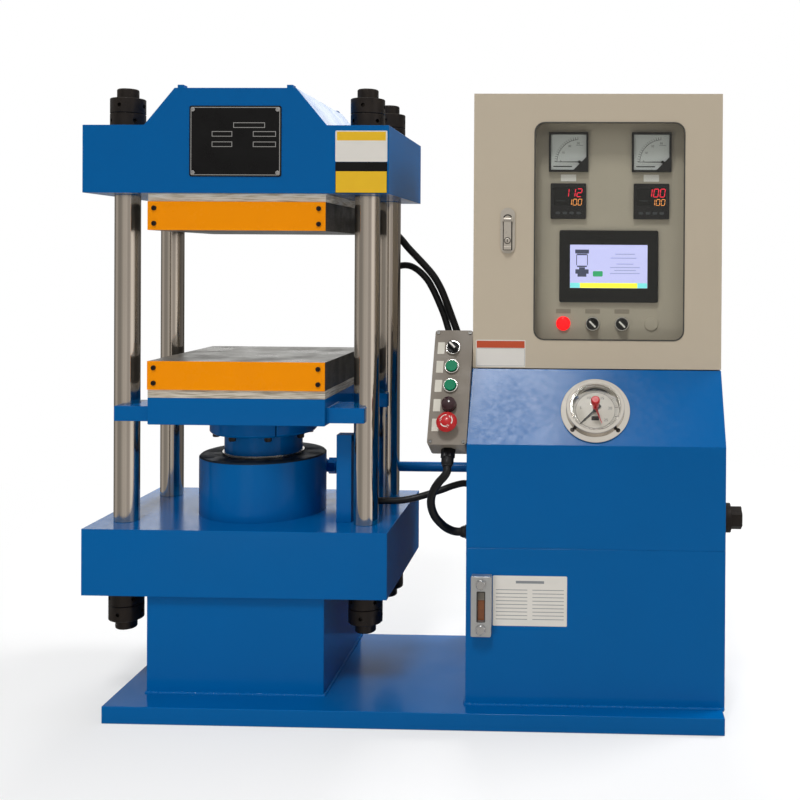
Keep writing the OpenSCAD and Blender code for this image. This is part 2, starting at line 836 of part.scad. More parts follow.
module rear_cover() {
    lap = 10;
    w = cabinet_w - 2 * (rear_border - lap);
    h = slope_z1 - floor_z1 - 2 * (rear_border - lap);
    z0 = floor_z1 + rear_border - lap;
    louvre_pitch = louvre_h + louvre_gap;
    color("steelblue") difference() {
        translate([cabinet_x + cabinet_w / 2, cabinet_back + rear_t / 2, z0]) plain_box(w, rear_t, h);
        for (side = [-1, 1], i = [0:louvre_count - 1]) {
            translate([
                cabinet_x + cabinet_w / 2 + side * w / 4, cabinet_back + rear_t / 2,
                z0 + h / 2 + (i - louvre_count / 2) * louvre_pitch
            ]) plain_box(louvre_w, rear_t + 2 * cut, louvre_h);
        }
    }
}

// Motor on the cabinet's floor, with the bell housing, pump and strainer hanging in the tank
module pump_unit() {
    flange_rim = 15;
    flange_l = 12;
    cowl_rim = 4;
    cowl_l = 45;
    junction_lift = 80;
    bell = [110, 60];
    pump = [90, 110, 90];
    suction_d = 34;
    strainer = [70, 50];
    strainer_lift = 30;
    junction_box = [90, 60, 70];
    suction_l = tank_h - bell[1] - pump[2] - strainer[1] - strainer_lift;
    color("dimgray") translate([cabinet_x + motor_in, 0, 0]) {
        translate([0, 0, floor_z1]) {
            cylinder(d = motor_d + 2 * flange_rim, h = flange_l);
            cylinder(d = motor_d, h = motor_l - cowl_l);
            translate([0, 0, motor_l - cowl_l]) cylinder(d = motor_d + 2 * cowl_rim, h = cowl_l);
            translate([0, -motor_d / 2, junction_lift]) {
                plain_box(junction_box[0], junction_box[1], junction_box[2]);
            }
        }
        translate([0, 0, tank_z1 - bell[1]]) cylinder(d = bell[0], h = bell[1]);
        translate([0, 0, tank_z1 - bell[1] - pump[2]]) {
            plain_box(pump[0], pump[1], pump[2]);
            translate([0, 0, -suction_l]) {
                cylinder(d = suction_d, h = suction_l);
                translate([0, 0, -strainer[1]]) cylinder(d = strainer[0], h = strainer[1]);
            }
        }
    }
}

module relief_valve() {
    block_x0 = cabinet_x1 - sheet_t - fit - valve_block;
    color("dimgray") difference() {
        union() {
            translate([block_x0 + valve_block / 2, -valve_front, floor_z1]) {
                plain_box(valve_block, valve_block, valve_block);
            }
            translate([block_x0 + valve_block - cut, -valve_front, valve_z]) rotate([0, 90, 0]) {
                cylinder(d = valve_d, h = sheet_t + fit + valve_proud + cut);
            }
        }
        translate([block_x0 + valve_block, -valve_front, valve_z]) rotate([0, 90, 0]) {
            cylinder(d = spindle_d + 2 * run, h = valve_d);
        }
    }
}

module relief_adjuster() {
    spindle_l = valve_proud - 2;
    color("dimgray") translate([cabinet_x1 + valve_proud + fit, -valve_front, valve_z]) rotate([0, 90, 0]) {
        hex(adjuster_flats, adjuster_l);
        translate([0, 0, -spindle_l]) cylinder(d = spindle_d, h = spindle_l + cut);
    }
}

module level_gauge() {
    level_r = 3;
    level_floor = 6;
    color("silver") facing(cabinet_x + level_in, slope_y0, level_z) difference() {
        round_box(level_w, level_h, level_t, level_r);
        translate([0, 0, level_floor]) plain_box(level_window_w, level_window_h, level_t);
    }
}

module gauge_case() {
    color("silver") on_gauge() difference() {
        union() {
            cylinder(d = gauge_d, h = flange_t);
            cylinder(d = rim_d, h = rim_h);
            translate([0, 0, -gauge_depth]) cylinder(d = dial_d, h = gauge_depth + cut);
            translate([0, 0, -gauge_depth - socket_l]) hex(socket_flats, socket_l + cut);
        }
        translate([0, 0, dial_z]) cylinder(d = dial_d - 2 * dome_t, h = rim_h);
        translate([0, 0, dial_z - 10]) cylinder(d = pivot_d + 2 * run, h = 20);
    }
}

module gauge_cover() {
    color("white", 0.3) on_gauge() translate([0, 0, rim_h]) difference() {
        intersection() {
            translate([0, 0, dome_h - dome_r]) sphere(r = dome_r, $fn = 96);
            cylinder(d = dial_d, h = dome_h + cut);
        }
        translate([0, 0, dome_h - dome_r]) sphere(r = dome_r - dome_t, $fn = 96);
        cylinder(d = knob_stem_d + 2 * run, h = dome_h + cut);
    }
}

module gauge_knob() {
    stem_l = 18;
    color("red") on_gauge() translate([0, 0, rim_h + dome_h + fit]) {
        cylinder(d = knob_d, h = knob_h - 2);
        translate([0, 0, knob_h - 2]) cylinder(d1 = knob_d, d2 = knob_d - 4, h = 2);
        translate([0, 0, -stem_l]) cylinder(d = knob_stem_d, h = stem_l + cut);
    }
}

module gauge_pointer() {
    hub_d = 10;
    hub_h = 3;
    tail_l = 14;
    tail_half = 3;
    tip_half = 0.5;
    hand_t = 1.2;
    pin_l = 8;
    color("black") on_gauge() translate([0, 0, dial_z + 2]) rotate([0, 0, 225]) {
        cylinder(d = hub_d, h = hub_h);
        linear_extrude(hand_t) polygon([
            [-tail_l, -tail_half], [-tail_l, tail_half], [pointer_l, tip_half], [pointer_l, -tip_half]
        ]);
        translate([0, 0, -pin_l]) cylinder(d = pivot_d, h = pin_l + hand_t);
    }
}

module electrical_box() {
    depth = cabinet_back - ebox_y0;
    color("wheat") translate([cabinet_x, ebox_y0, ebox_z0]) difference() {
        cube([cabinet_w, depth, ebox_h]);
        translate([ebox_t, -cut, ebox_t]) {
            cube([cabinet_w - 2 * ebox_t, depth - ebox_t + cut, ebox_h - 2 * ebox_t]);
        }
    }
}

// Pins on leaves that stand out of the box's front edge into the door pan
module hinge_pins() {
    leaf_w = 6;
    leaf_t = 3;
    wing_l = 18;
    wall_x = cabinet_x1 - ebox_t;
    pin_l = hinge_h + 2 * knuckle_t;
    color("silver") for (z = hinge_zs) {
        translate([hinge_x, hinge_y, z - pin_l / 2]) cylinder(d = pin_d, h = pin_l);
        translate([hinge_x - leaf_w, 0, z - hinge_h / 2]) {
            translate([0, hinge_y - 1, 0]) cube([leaf_w, ebox_y0 - hinge_y + 1 + leaf_t, hinge_h]);
            translate([0, ebox_y0, 0]) cube([wall_x - hinge_x + leaf_w, leaf_t, hinge_h]);
        }
        translate([wall_x - leaf_t, ebox_y0, z - hinge_h / 2]) cube([leaf_t, wing_l, hinge_h]);
    }
}

// Knuckle plates inside the door pan, above and below each hinge leaf
module door_knuckles() {
    knuckle_w = 12;
    for (z = hinge_zs, side = [-1, 1]) {
        z0 = z + side * (hinge_h / 2 + fit + knuckle_t / 2) - knuckle_t / 2;
        translate([hinge_x - knuckle_w + hinge_in - ebox_t, door_y0 + ebox_t - cut / 2, z0]) {
            cube([knuckle_w + cut / 2, hinge_in + 3, knuckle_t]);
        }
    }
}

module door() {
    door_w = cabinet_x1 - door_x0;
    door_h = ebox_z1 - door_z0;
    notch_h = hinge_h + 2 * fit;
    color("wheat") difference() {
        union() {
            translate([door_x0, door_y0, door_z0]) difference() {
                cube([door_w, door_t, door_h]);
                translate([ebox_t, ebox_t, ebox_t]) cube([door_w - 2 * ebox_t, door_t, door_h - 2 * ebox_t]);
            }
            door_knuckles();
        }
        facing(window_x, door_y0 + ebox_t + cut, window_z) {
            round_box(window_w, window_h, ebox_t + 2 * cut, window_r);
        }
        for (z = hinge_zs) {
            translate([cabinet_x1 - ebox_t - cut / 2, door_y0 + ebox_t, z - notch_h / 2]) {
                cube([ebox_t + cut, door_t, notch_h]);
            }
            translate([hinge_x, hinge_y, z - hinge_h]) cylinder(d = pin_d + 2 * run, h = 2 * hinge_h);
        }
        facing(lock_x, door_y0 + ebox_t + cut, lock_z) {
            cylinder(d = lock_barrel_d + 2 * fit, h = ebox_t + 2 * cut);
        }
    }
}

module window_pane() {
    color("white", 0.3) facing(window_x, door_y0 + ebox_t + pane_t, window_z) {
        round_box(window_w + 2 * pane_lap, window_h + 2 * pane_lap, pane_t, window_r + pane_lap);
    }
}

module on_lock() {
    facing(lock_x, door_y0, lock_z) children();
}

module lock_plate() {
    barrel_depth = 14;
    lug_t = 3;
    lug_w = 8;
    lug_over = 3;
    lug_x = lever_w / 2 + fit + lug_t / 2;
    color("silver") on_lock() {
        round_box(lock_w, lock_h, lock_t, lock_w / 2 - 0.01);
        translate([0, 0, -barrel_depth]) cylinder(d = lock_barrel_d, h = barrel_depth + cut);
        for (sx = [-1, 1]) translate([sx * lug_x, lever_drop, lock_t - cut]) {
            plain_box(lug_t, lug_w, lever_z - lock_t + lug_over + cut);
        }
        translate([-lug_x, lever_drop, lever_z]) rotate([0, 90, 0]) cylinder(d = lever_pin_d, h = 2 * lug_x);
    }
}

module lock_handle() {
    knuckle_wall = 1.7;
    arm_t = 4.5;
    toe_l = 6;
    toe_rise = 2;
    color("silver") on_lock() difference() {
        union() {
            translate([-lever_w / 2, lever_drop, lever_z]) rotate([0, 90, 0]) {
                cylinder(d = lever_pin_d + 2 * knuckle_wall, h = lever_w);
            }
            translate([0, lever_drop - lever_l / 2, lock_t + fit]) plain_box(lever_w, lever_l, arm_t);
            translate([0, lever_drop - lever_l + toe_l / 2, lock_t + fit]) {
                plain_box(lever_w, toe_l, arm_t + toe_rise);
            }
        }
        translate([-lever_w, lever_drop, lever_z]) rotate([0, 90, 0]) {
            cylinder(d = lever_pin_d + 2 * run, h = 2 * lever_w);
        }
    }
}

module instrument_panel() {
    w = cabinet_w - 2 * ebox_t;
    h = ebox_h - 2 * panel_edge;
    z0 = ebox_z0 + panel_edge;
    color("tan") difference() {
        translate([cabinet_x + ebox_t, panel_y, z0]) {
            cube([w, panel_t, h]);
            cube([panel_t, panel_flange, h]);
            translate([w - panel_t, 0, 0]) cube([panel_t, panel_flange, h]);
        }
        for (x = instrument_xs) {
            on_panel(x, ammeter_z) translate([0, 0, -panel_t - cut]) {
                cylinder(d = ammeter_body_d + 2 * fit, h = panel_t + 2 * cut);
            }
            on_panel(x, controller_z) translate([0, 0, -panel_t - cut]) {
                plain_box(controller_body_w + 2 * fit, controller_body_w + 2 * fit, panel_t + 2 * cut);
            }
        }
        on_panel(window_x, touch_z) translate([0, 0, -panel_t - cut]) {
            plain_box(touch_body[0] + 2 * fit, touch_body[1] + 2 * fit, panel_t + 2 * cut);
        }
        for (i = [0:2]) on_panel(row_x[i], row_z) translate([0, 0, -panel_t - cut]) {
            cylinder(d = switch_hole_d, h = panel_t + 2 * cut);
        }
    }
}

module ammeters() {
    rim = 4;
    floor_t = 3;
    body_l = 45;
    corner = 34;
    shade_t = 2;
    hole_l = 5;
    color("black") for (x = instrument_xs) on_panel(x, ammeter_z) difference() {
        union() {
            difference() {
                plain_box(ammeter_w, ammeter_w, ammeter_proud);
                translate([0, 0, floor_t]) {
                    plain_box(ammeter_w - 2 * rim, ammeter_w - 2 * rim, ammeter_proud);
                }
            }
            translate([0, 0, -body_l]) cylinder(d = ammeter_body_d, h = body_l + cut);
            translate([ammeter_w / 2, -ammeter_w / 2, ammeter_proud - shade_t]) linear_extrude(shade_t) {
                polygon([[0, 0], [0, corner], [-corner, 0]]);
            }
        }
        translate([needle_pivot[0], needle_pivot[1], -hole_l]) {
            cylinder(d = needle_pin_d + 2 * run, h = hole_l + floor_t + cut);
        }
    }
}

// Needle of one ammeter, at rest on zero and pointing to the left
module needle(x) {
    hub_d = 6;
    tail_l = 6;
    tail_half = 1.2;
    tip_half = 0.4;
    hand_t = 0.8;
    hub_t = 1.2;
    pin_l = needle_lift + 2;
    color("black") on_panel(x, ammeter_z) translate([needle_pivot[0], needle_pivot[1], needle_lift]) {
        linear_extrude(hand_t) polygon([
            [tail_l, -tail_half], [tail_l, tail_half], [-needle_l, tip_half], [-needle_l, -tip_half]
        ]);
        cylinder(d = hub_d, h = hub_t);
        translate([0, 0, -pin_l]) cylinder(d = needle_pin_d, h = pin_l + hand_t);
    }
}

module ammeter_needle_left() {
    needle(instrument_xs[0]);
}

module ammeter_needle_right() {
    needle(instrument_xs[1]);
}

module temperature_controllers() {
    body_l = 70;
    glass = [60, 36, 0.6];
    color("black") for (x = instrument_xs) on_panel(x, controller_z) difference() {
        union() {
            round_box(controller_w, controller_w, controller_proud, 2);
            translate([0, 0, -body_l]) plain_box(controller_body_w, controller_body_w, body_l + cut);
        }
        translate([0, 9, controller_proud - glass[2]]) plain_box(glass[0], glass[1], 2 * glass[2]);
    }
}

module touch_panel() {
    body_l = 35;
    screen = [157, 88, 0.8];
    color("black") on_panel(window_x, touch_z) difference() {
        union() {
            round_box(touch_w, touch_h, touch_proud, 4);
            translate([0, 0, -body_l]) plain_box(touch_body[0], touch_body[1], body_l + cut);
        }
        translate([0, 0, touch_proud - screen[2]]) plain_box(screen[0], screen[1], 2 * screen[2]);
    }
}

// Bezel of a panel switch with the barrel behind the panel
module bezel() {
    difference() {
        union() {
            cylinder(d = bezel_d, h = bezel_h);
            translate([0, 0, -barrel_l]) cylinder(d = switch_hole_d - 2 * fit, h = barrel_l + cut);
        }
        translate([0, 0, bezel_floor]) cylinder(d = cap_d + 2 * fit, h = bezel_h);
        translate([0, 0, -barrel_l - cut]) cylinder(d = stem_d + 2 * fit, h = barrel_l + bezel_h);
    }
}

module control_bezels() {
    color("silver") {
        for (i = [1, 2]) on_panel(row_x[i], row_z) bezel();
        for (i = [0, 1, 2, 4]) on_pendant(pendant_rows[i]) bezel();
    }
}

// Lamp with a low domed lens
module lamp(d, lens_h) {
    dome = 4;
    dome_radius = (d * d / 4 + dome * dome) / (2 * dome);
    cylinder(d = bezel_d, h = 2);
    translate([0, 0, -barrel_l]) cylinder(d = switch_hole_d - 2 * fit, h = barrel_l + cut);
    cylinder(d = d, h = lens_h - dome);
    intersection() {
        translate([0, 0, lens_h - dome_radius]) sphere(r = dome_radius);
        translate([0, 0, lens_h - dome - cut]) cylinder(d = d, h = dome + 2 * cut);
    }
}

module pilot_lamps() {
    color("red") {
        on_panel(row_x[0], row_z) lamp(bezel_d - 3, 9);
        on_pendant(pendant_rows[3]) lamp(bezel_d - 2, 18);
    }
}

// Selector with its grip turned to the upper left
module selector() {
    body_h = 7;
    grip_w = 8;
    body_z = 2;
    stem_l = barrel_l - 4;
    rotate([0, 0, 45]) {
        translate([0, 0, body_z]) cylinder(d = cap_d, h = body_h);
        translate([0, 0, body_z + body_h - cut]) plain_box(grip_w, cap_d - 3, grip_h + cut);
        translate([0, 0, -stem_l]) cylinder(d = stem_d, h = stem_l + body_z + cut);
    }
}

module panel_selector_left() {
    color("black") on_panel(row_x[1], row_z) selector();
}

module panel_selector_right() {
    color("black") on_panel(row_x[2], row_z) selector();
}

module pendant_selector() {
    color("black") on_pendant(pendant_rows[0]) selector();
}

module push_button() {
    stem_l = barrel_l - button_travel - 2;
    translate([0, 0, cap_lift]) cylinder(d = cap_d, h = cap_h);
    translate([0, 0, -stem_l]) cylinder(d = stem_d, h = stem_l + cap_lift + cut);
}

module upper_button() {
    color("green") on_pendant(pendant_rows[1]) push_button();
}

module lower_button() {
    color("green") on_pendant(pendant_rows[2]) push_button();
}

module estop_stem() {
    stem_l = barrel_l - stop_travel - 2;
    color("dimgray") on_pendant(pendant_rows[4]) {
        translate([0, 0, -stem_l]) cylinder(d = stem_d, h = stem_l + head_lift - fit);
        translate([0, 0, head_lift - fit - cut]) cylinder(d = spigot_d, h = mushroom_h / 2 + cut);
    }
}

module estop_head() {
    skirt_h = 6;
    crown_h = mushroom_h - skirt_h;
    crown_r = (mushroom_d * mushroom_d / 4 + crown_h * crown_h) / (2 * crown_h);
    color("red") on_pendant(pendant_rows[4]) translate([0, 0, head_lift]) difference() {
        union() {
            cylinder(d1 = mushroom_d - 6, d2 = mushroom_d, h = skirt_h);
            intersection() {
                translate([0, 0, mushroom_h - crown_r]) sphere(r = crown_r);
                translate([0, 0, skirt_h - cut]) cylinder(d = mushroom_d, h = mushroom_h);
            }
        }
        translate([0, 0, -cut]) cylinder(d = spigot_d + 2 * run, h = mushroom_h / 2 + cut);
    }
}

module pendant_box() {
    depth = pendant_d - lid_d;
    inner_r = pendant_r - pendant_wall;
    color("gray") on_pendant(0) translate([0, 0, -pendant_d]) difference() {
        round_box(pendant_w, pendant_l, depth, pendant_r);
        translate([0, 0, pendant_wall]) {
            round_box(pendant_w - 2 * pendant_wall, pendant_l - 2 * pendant_wall, depth, max(inner_r, 0.5));
        }
    }
}

module pendant_lid() {
    inner_r = pendant_r - pendant_wall;
    color("gray") on_pendant(0) translate([0, 0, -lid_d]) difference() {
        round_box(pendant_w, pendant_l, lid_d, pendant_r);
        translate([0, 0, -cut]) {
            round_box(
                pendant_w - 2 * pendant_wall, pendant_l - 2 * pendant_wall,
                lid_d - pendant_wall + cut, max(inner_r, 0.5)
            );
        }
        for (row = pendant_rows) translate([0, row, -cut]) cylinder(d = switch_hole_d, h = lid_d + 2 * cut);
    }
}

// Straight gland, from its seat to the mouth that takes a conduit
module gland(l) {
    tip_l = 6;
    tip_taper = 2.5;
    cylinder(d = gland_d, h = l - tip_l);
    hex(gland_d, l / 2);
    translate([0, 0, l - tip_l]) cylinder(d1 = gland_d, d2 = gland_d - 2 * tip_taper, h = tip_l);
}

// Elbow on the cabinet's left wall, with its mouth upwards
module wall_elbow(end) {
    rise = 14;
    translate([end[0], end[1], end[2] - rise]) {
        cylinder(d = gland_d, h = rise - fit);
        sphere(d = gland_d);
        rotate([0, 90, 0]) cylinder(d = gland_d, h = cabinet_x - end[0]);
    }
}

module wall_gland(end) {
    translate([cabinet_x, end[1], end[2]]) rotate([0, -90, 0]) gland(cabinet_x - end[0] - fit);
}

module cable_glands() {
    pendant_gland_l = 34;
    color("black") {
        on_pendant(-pendant_l / 2) translate([0, 0, -pendant_d / 2]) rotate([90, 0, 0]) {
            gland(pendant_gland_l);
        }
        translate([platen_w / 2, upper_route[0][1], upper_route[0][2]]) rotate([0, 90, 0]) {
            gland(upper_route[0][0] - platen_w / 2 - fit);
        }
        wall_elbow(upper_route[len(upper_route) - 1]);
        wall_elbow(lower_route[len(lower_route) - 1]);
        wall_gland(pendant_route[len(pendant_route) - 1]);
        wall_gland(switch_route[len(switch_route) - 1]);
    }
}

module lower_gland() {
    color("black") translate([lower_route[0][0], platen_w / 2, lower_route[0][2]]) rotate([-90, 0, 0]) {
        gland(lower_route[0][1] - platen_w / 2 - fit);
    }
}

module upper_conduit() {
    color("black") tube(upper_route, conduit_d);
}

module lower_conduit() {
    color("black") tube(lower_route, lower_conduit_d);
}

module pendant_conduit() {
    color("black") tube(pendant_route, conduit_d);
}

module switch_cable() {
    color("black") tube(switch_route, cable_d);
}

module ram() {
    color("steelblue") {
        translate([0, 0, ram_z0 + fit]) cylinder(d = ram_d, h = clamp_z0 + neck_lift - ram_z0 - fit);
        translate([0, 0, clamp_z0 + neck_lift - cut]) cylinder(d = neck_d, h = neck_h + 2 * cut);
        translate([0, 0, clamp_z0 + neck_lift + neck_h]) {
            cylinder(d = ram_d, h = moving_z0 - clamp_z0 - neck_lift - neck_h);
        }
    }
}

module clamp_ring() {
    lip_z = neck_lift + fit;
    lip_h = neck_h - 2 * fit;
    chamfer_r = 4;
    color("steelblue") translate([0, 0, clamp_z0]) difference() {
        union() {
            cylinder(d1 = clamp_d - 2 * chamfer_r, d2 = clamp_d, h = chamfer_r);
            translate([0, 0, chamfer_r]) cylinder(d = clamp_d, h = clamp_h - chamfer_r);
        }
        translate([0, 0, -cut]) cylinder(d = ram_d + 2 * fit, h = lip_z + cut);
        translate([0, 0, -cut]) cylinder(d = neck_d + 2 * fit, h = clamp_h + 2 * cut);
        translate([0, 0, lip_z + lip_h]) cylinder(d = ram_d + 2 * fit, h = clamp_h);
        rotate([0, 0, -60]) translate([0, 0, -cut]) {
            plain_box(clamp_d + 2 * cut, clamp_slit, clamp_h + 2 * cut);
        }
    }
}

module moving_beam() {
    color("steelblue") {
        translate([0, 0, moving_z0]) plain_box(platen_w, platen_w, moving_h);
        difference() {
            for (sy = [-1, 1]) translate([0, sy * column_y, guide_z0]) {
                plain_box(2 * guide_reach, 2 * guide_half, guide_t);
            }
            translate([0, 0, guide_z0 - cut]) at_columns() {
                cylinder(d = notch_d, h = guide_t + 2 * cut);
            }
            for (sx = [-1, 1], sy = [-1, 1]) {
                translate([sx * (column_x + notch_d / 2), sy * column_y, guide_z0 - cut]) {
                    plain_box(notch_d, notch_d, guide_t + 2 * cut);
                }
            }
        }
    }
}

module lower_insulation() {
    color("beige") translate([0, 0, moving_z1]) plain_box(platen_w, platen_w, insulation_t);
}

module lower_platen() {
    color("gray") translate([0, 0, lower_platen_z0]) platen();
}

module lower_cover() {
    color("orange") translate([0, 0, lower_platen_z0]) cover();
}

base_plate();
pedestal();
lower_block();
tie_columns();
tie_nuts();
upper_beam();
upper_insulation();
upper_platen();
upper_cover();
press_cylinder();  // cylinder
wiper_ring();
oil_pipe();
switch_post();
proximity_switch();
oil_tank();
pump_unit();
cabinet_body();
rear_cover();
level_gauge();
gauge_case();
gauge_cover();
relief_valve();
electrical_box();
hinge_pins();
instrument_panel();
ammeters();
temperature_controllers();
touch_panel();
control_bezels();
pilot_lamps();
pendant_box();
pendant_lid();
cable_glands();
upper_conduit();
lower_conduit();
pendant_conduit();
switch_cable();
door();
window_pane();
lock_plate();
lock_handle();
ram();
moving_beam();
lower_insulation();
lower_platen();
lower_cover();
clamp_ring();
lower_gland();
panel_selector_left();
panel_selector_right();
pendant_selector();
upper_button();
lower_button();
estop_stem();
estop_head();
gauge_pointer();
gauge_knob();
ammeter_needle_left();
ammeter_needle_right();
relief_adjuster();
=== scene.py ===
# %% [markdown]
# # A plate press for curing rubber
# Two heated steel plates stand between four chromed columns. A hydraulic ram lifts the lower
# plate, and a cabinet beside the press holds the oil, the pump and the switchgear.
# The CAD model gives every piece its size and place. Here each one gets its finish, and the
# small things that are too fine for the CAD model are added: screws, dials, cards and welds.

import bmesh
import bpy
import json
import math
from mathutils import Matrix, Vector


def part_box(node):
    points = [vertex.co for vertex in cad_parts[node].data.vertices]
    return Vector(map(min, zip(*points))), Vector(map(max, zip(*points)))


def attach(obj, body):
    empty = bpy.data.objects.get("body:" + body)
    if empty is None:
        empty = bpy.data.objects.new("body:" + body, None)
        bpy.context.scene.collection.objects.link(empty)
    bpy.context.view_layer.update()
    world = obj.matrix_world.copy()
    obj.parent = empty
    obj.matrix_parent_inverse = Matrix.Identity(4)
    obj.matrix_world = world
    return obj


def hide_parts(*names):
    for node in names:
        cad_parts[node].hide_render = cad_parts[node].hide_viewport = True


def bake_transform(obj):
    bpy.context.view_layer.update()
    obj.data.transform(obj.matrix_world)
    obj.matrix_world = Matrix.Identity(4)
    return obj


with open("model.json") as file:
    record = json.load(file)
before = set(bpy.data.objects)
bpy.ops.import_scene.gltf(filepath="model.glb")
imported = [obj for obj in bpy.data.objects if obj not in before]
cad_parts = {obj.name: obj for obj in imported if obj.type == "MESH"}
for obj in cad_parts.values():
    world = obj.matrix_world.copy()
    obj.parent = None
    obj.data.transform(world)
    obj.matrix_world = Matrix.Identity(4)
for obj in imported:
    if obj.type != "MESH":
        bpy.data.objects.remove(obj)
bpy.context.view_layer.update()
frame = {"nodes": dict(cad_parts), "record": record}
MM = 0.001
body_of = {node: body for body, nodes in frame["record"]["behaviour"]["bodies"].items() for node in nodes}

# %% [markdown]
# ## Camera
# The camera was fitted to the photograph: a normal lens that stands in front of the cabinet, at the
# height of the instruments, with its axis off the picture's middle. A shifted lens keeps the uprights
# upright and moves the picture sideways without turning the camera, as an architect's lens does.
# The fit isn't perfect: the landmarks land about five pixels from where they should, on average.

# %% Camera
PHOTO_SIDE = 800
LENS_AXIS = (560, 265)
FOCAL_PIXELS = 1042.3
EYE = Vector((693.4, -2186.8, 888.6)) * MM
TURN, NOD, LEAN = -0.031, -0.006, 0.006

lens = bpy.data.cameras.new("photo_lens")
lens.sensor_width = 36
lens.lens = FOCAL_PIXELS * lens.sensor_width / PHOTO_SIDE
lens.shift_x = 0.5 - LENS_AXIS[0] / PHOTO_SIDE
lens.shift_y = LENS_AXIS[1] / PHOTO_SIDE - 0.5
camera = bpy.data.objects.new("photo_camera", lens)
camera.matrix_world = (
    Matrix.Translation(EYE)
    @ Matrix.Rotation(-TURN, 4, "Z")
    @ Matrix.Rotation(math.pi / 2 + NOD, 4, "X")
    @ Matrix.Rotation(LEAN, 4, "Z")
)
bpy.context.scene.collection.objects.link(camera)
bpy.context.scene.camera = camera
print("lens", round(lens.lens, 1), "mm, shift", round(lens.shift_x, 3), round(lens.shift_y, 3))

# %% [markdown]
# ## Two helpers for node trees
# Colours are written as the sRGB hex values that a paint chart gives, and Blender's shaders want
# linear light, so one function converts them. One more adds a node with its settings and links,
# which keeps every tree below short enough to read as a list of steps.


# %% Colour and node helpers
def linear(hex_colour):
    """An sRGB hex colour as linear RGBA."""
    shares = [int(hex_colour[i : i + 2], 16) / 255 for i in (1, 3, 5)]
    return tuple(s / 12.92 if s <= 0.04045 else ((s + 0.055) / 1.055) ** 2.4 for s in shares) + (1.0,)


def add_node(tree, kind, inputs=None, **settings):
    """Adds one node. A value that is another node's socket is linked, and the rest are set."""
    node = tree.nodes.new(kind)
    for name, value in settings.items():
        setattr(node, name, value)
    for key, value in (inputs or {}).items():
        if isinstance(value, bpy.types.NodeSocket):
            tree.links.new(value, node.inputs[key])
        else:
            node.inputs[key].default_value = value
    return node


print("white is", linear("#FFFFFF"))

# %% [markdown]
# ## One recipe for a coated or machined surface
# Almost every surface of a machine is one colour that drifts a little over a hand's width, with a
# finer grain on it: orange peel in sprayed paint, grinding marks in steel, moulding texture in
# plastic. The recipe takes both sizes in millimetres. The grain breaks the gloss and lifts the
# surface by a few hundredths of a millimetre.


# %% The surface recipe
def surface(name, colour, shade, patch, grain, relief, rough, **coat):
    """A finish of two close colours in patches, with a grain of its own size on each axis."""
    material = bpy.data.materials.new(name)
    material.use_nodes = True
    tree = material.node_tree
    tree.nodes.clear()
    place = add_node(tree, "ShaderNodeTexCoord").outputs["Object"]
    drift = add_node(tree, "ShaderNodeTexNoise", {"Vector": place, "Scale": 1 / (patch * MM), "Detail": 4.0})
    tone = add_node(
        tree,
        "ShaderNodeMix",
        {"Factor": drift.outputs["Fac"], 6: linear(colour), 7: linear(shade)},
        data_type="RGBA",
    )
    stretch = add_node(tree, "ShaderNodeMapping", {"Vector": place, "Scale": [1 / (g * MM) for g in grain]})
    marks = add_node(tree, "ShaderNodeTexNoise", {"Vector": stretch.outputs[0], "Scale": 1.0, "Detail": 3.0})
    gloss = add_node(
        tree,
        "ShaderNodeMapRange",
        {
            "Value": marks.outputs["Fac"], "From Min": 0.3, "From Max": 0.7,
            "To Min": rough[0], "To Max": rough[1]
        },
    )
    wiped = add_node(
        tree,
        "ShaderNodeMapRange",
        {"Value": drift.outputs["Fac"], "From Min": 0.35, "From Max": 0.65, "To Min": 0.75, "To Max": 1.25},
    )
    worn = add_node(tree, "ShaderNodeMath", {0: gloss.outputs[0], 1: wiped.outputs[0]}, operation="MULTIPLY")
    lift = add_node(tree, "ShaderNodeBump", {"Height": marks.outputs["Fac"], "Distance": relief * MM})
    shader = add_node(
        tree,
        "ShaderNodeBsdfPrincipled",
        {"Base Color": tone.outputs[2], "Roughness": worn.outputs[0], "Normal": lift.outputs[0]},
    )
    for socket, value in coat.items():
        shader.inputs[socket.replace("_", " ")].default_value = value
    add_node(tree, "ShaderNodeOutputMaterial", {"Surface": shader.outputs[0]})
    return material


print("surface recipe ready")

# %% [markdown]
# ## Paints
# The press is sprayed with a semi-gloss blue alkyd enamel, thick enough to show orange peel. The
# switch box is powder-coated, which leaves a finer and duller texture. The plate covers carry a
# warm orange enamel, and a motor leaves its maker in a plain grey.

# %% Paint materials
# Sprayed over the frame, the tank and the cabinet
blue_enamel = surface(
    "blue_alkyd_enamel", "#0061A6", "#005D9F", 160, (9, 9, 9), 0.02, (0.14, 0.21), Specular_IOR_Level=0.12
)
# Baked on the switch box and its door
beige_powder = surface("beige_powder_coat", "#CABDA8", "#C4B7A2", 180, (3, 3, 3), 0.05, (0.42, 0.52))
# The greyer coat of the inner panel and its blank plug
panel_powder = surface("grey_beige_panel_coat", "#B4AA99", "#AEA493", 120, (3, 3, 3), 0.04, (0.4, 0.5))
# The covers in front of the hot plates
orange_enamel = surface(
    "orange_enamel", "#FF9A00", "#FA9300", 90, (8, 8, 8), 0.015, (0.22, 0.3), Specular_IOR_Level=0.12
)
# The motor and pump inside the cabinet
motor_grey = surface("grey_motor_enamel", "#7E878C", "#747C81", 90, (6, 6, 6), 0.05, (0.35, 0.45))
print(len(bpy.data.materials), "materials so far")

# %% [markdown]
# ## Metals and board
# The guides polish the hard chrome along the columns, so its faint marks run up and down. Black oxide
# on the nuts is a thin, dull skin. The plates' working faces are ground so fine that only broad
# patches show, and their sides keep the level marks of the mill. The insulation between a hot plate
# and its beam is pressed fibre board, whose layers show as streaks on the cut edge.


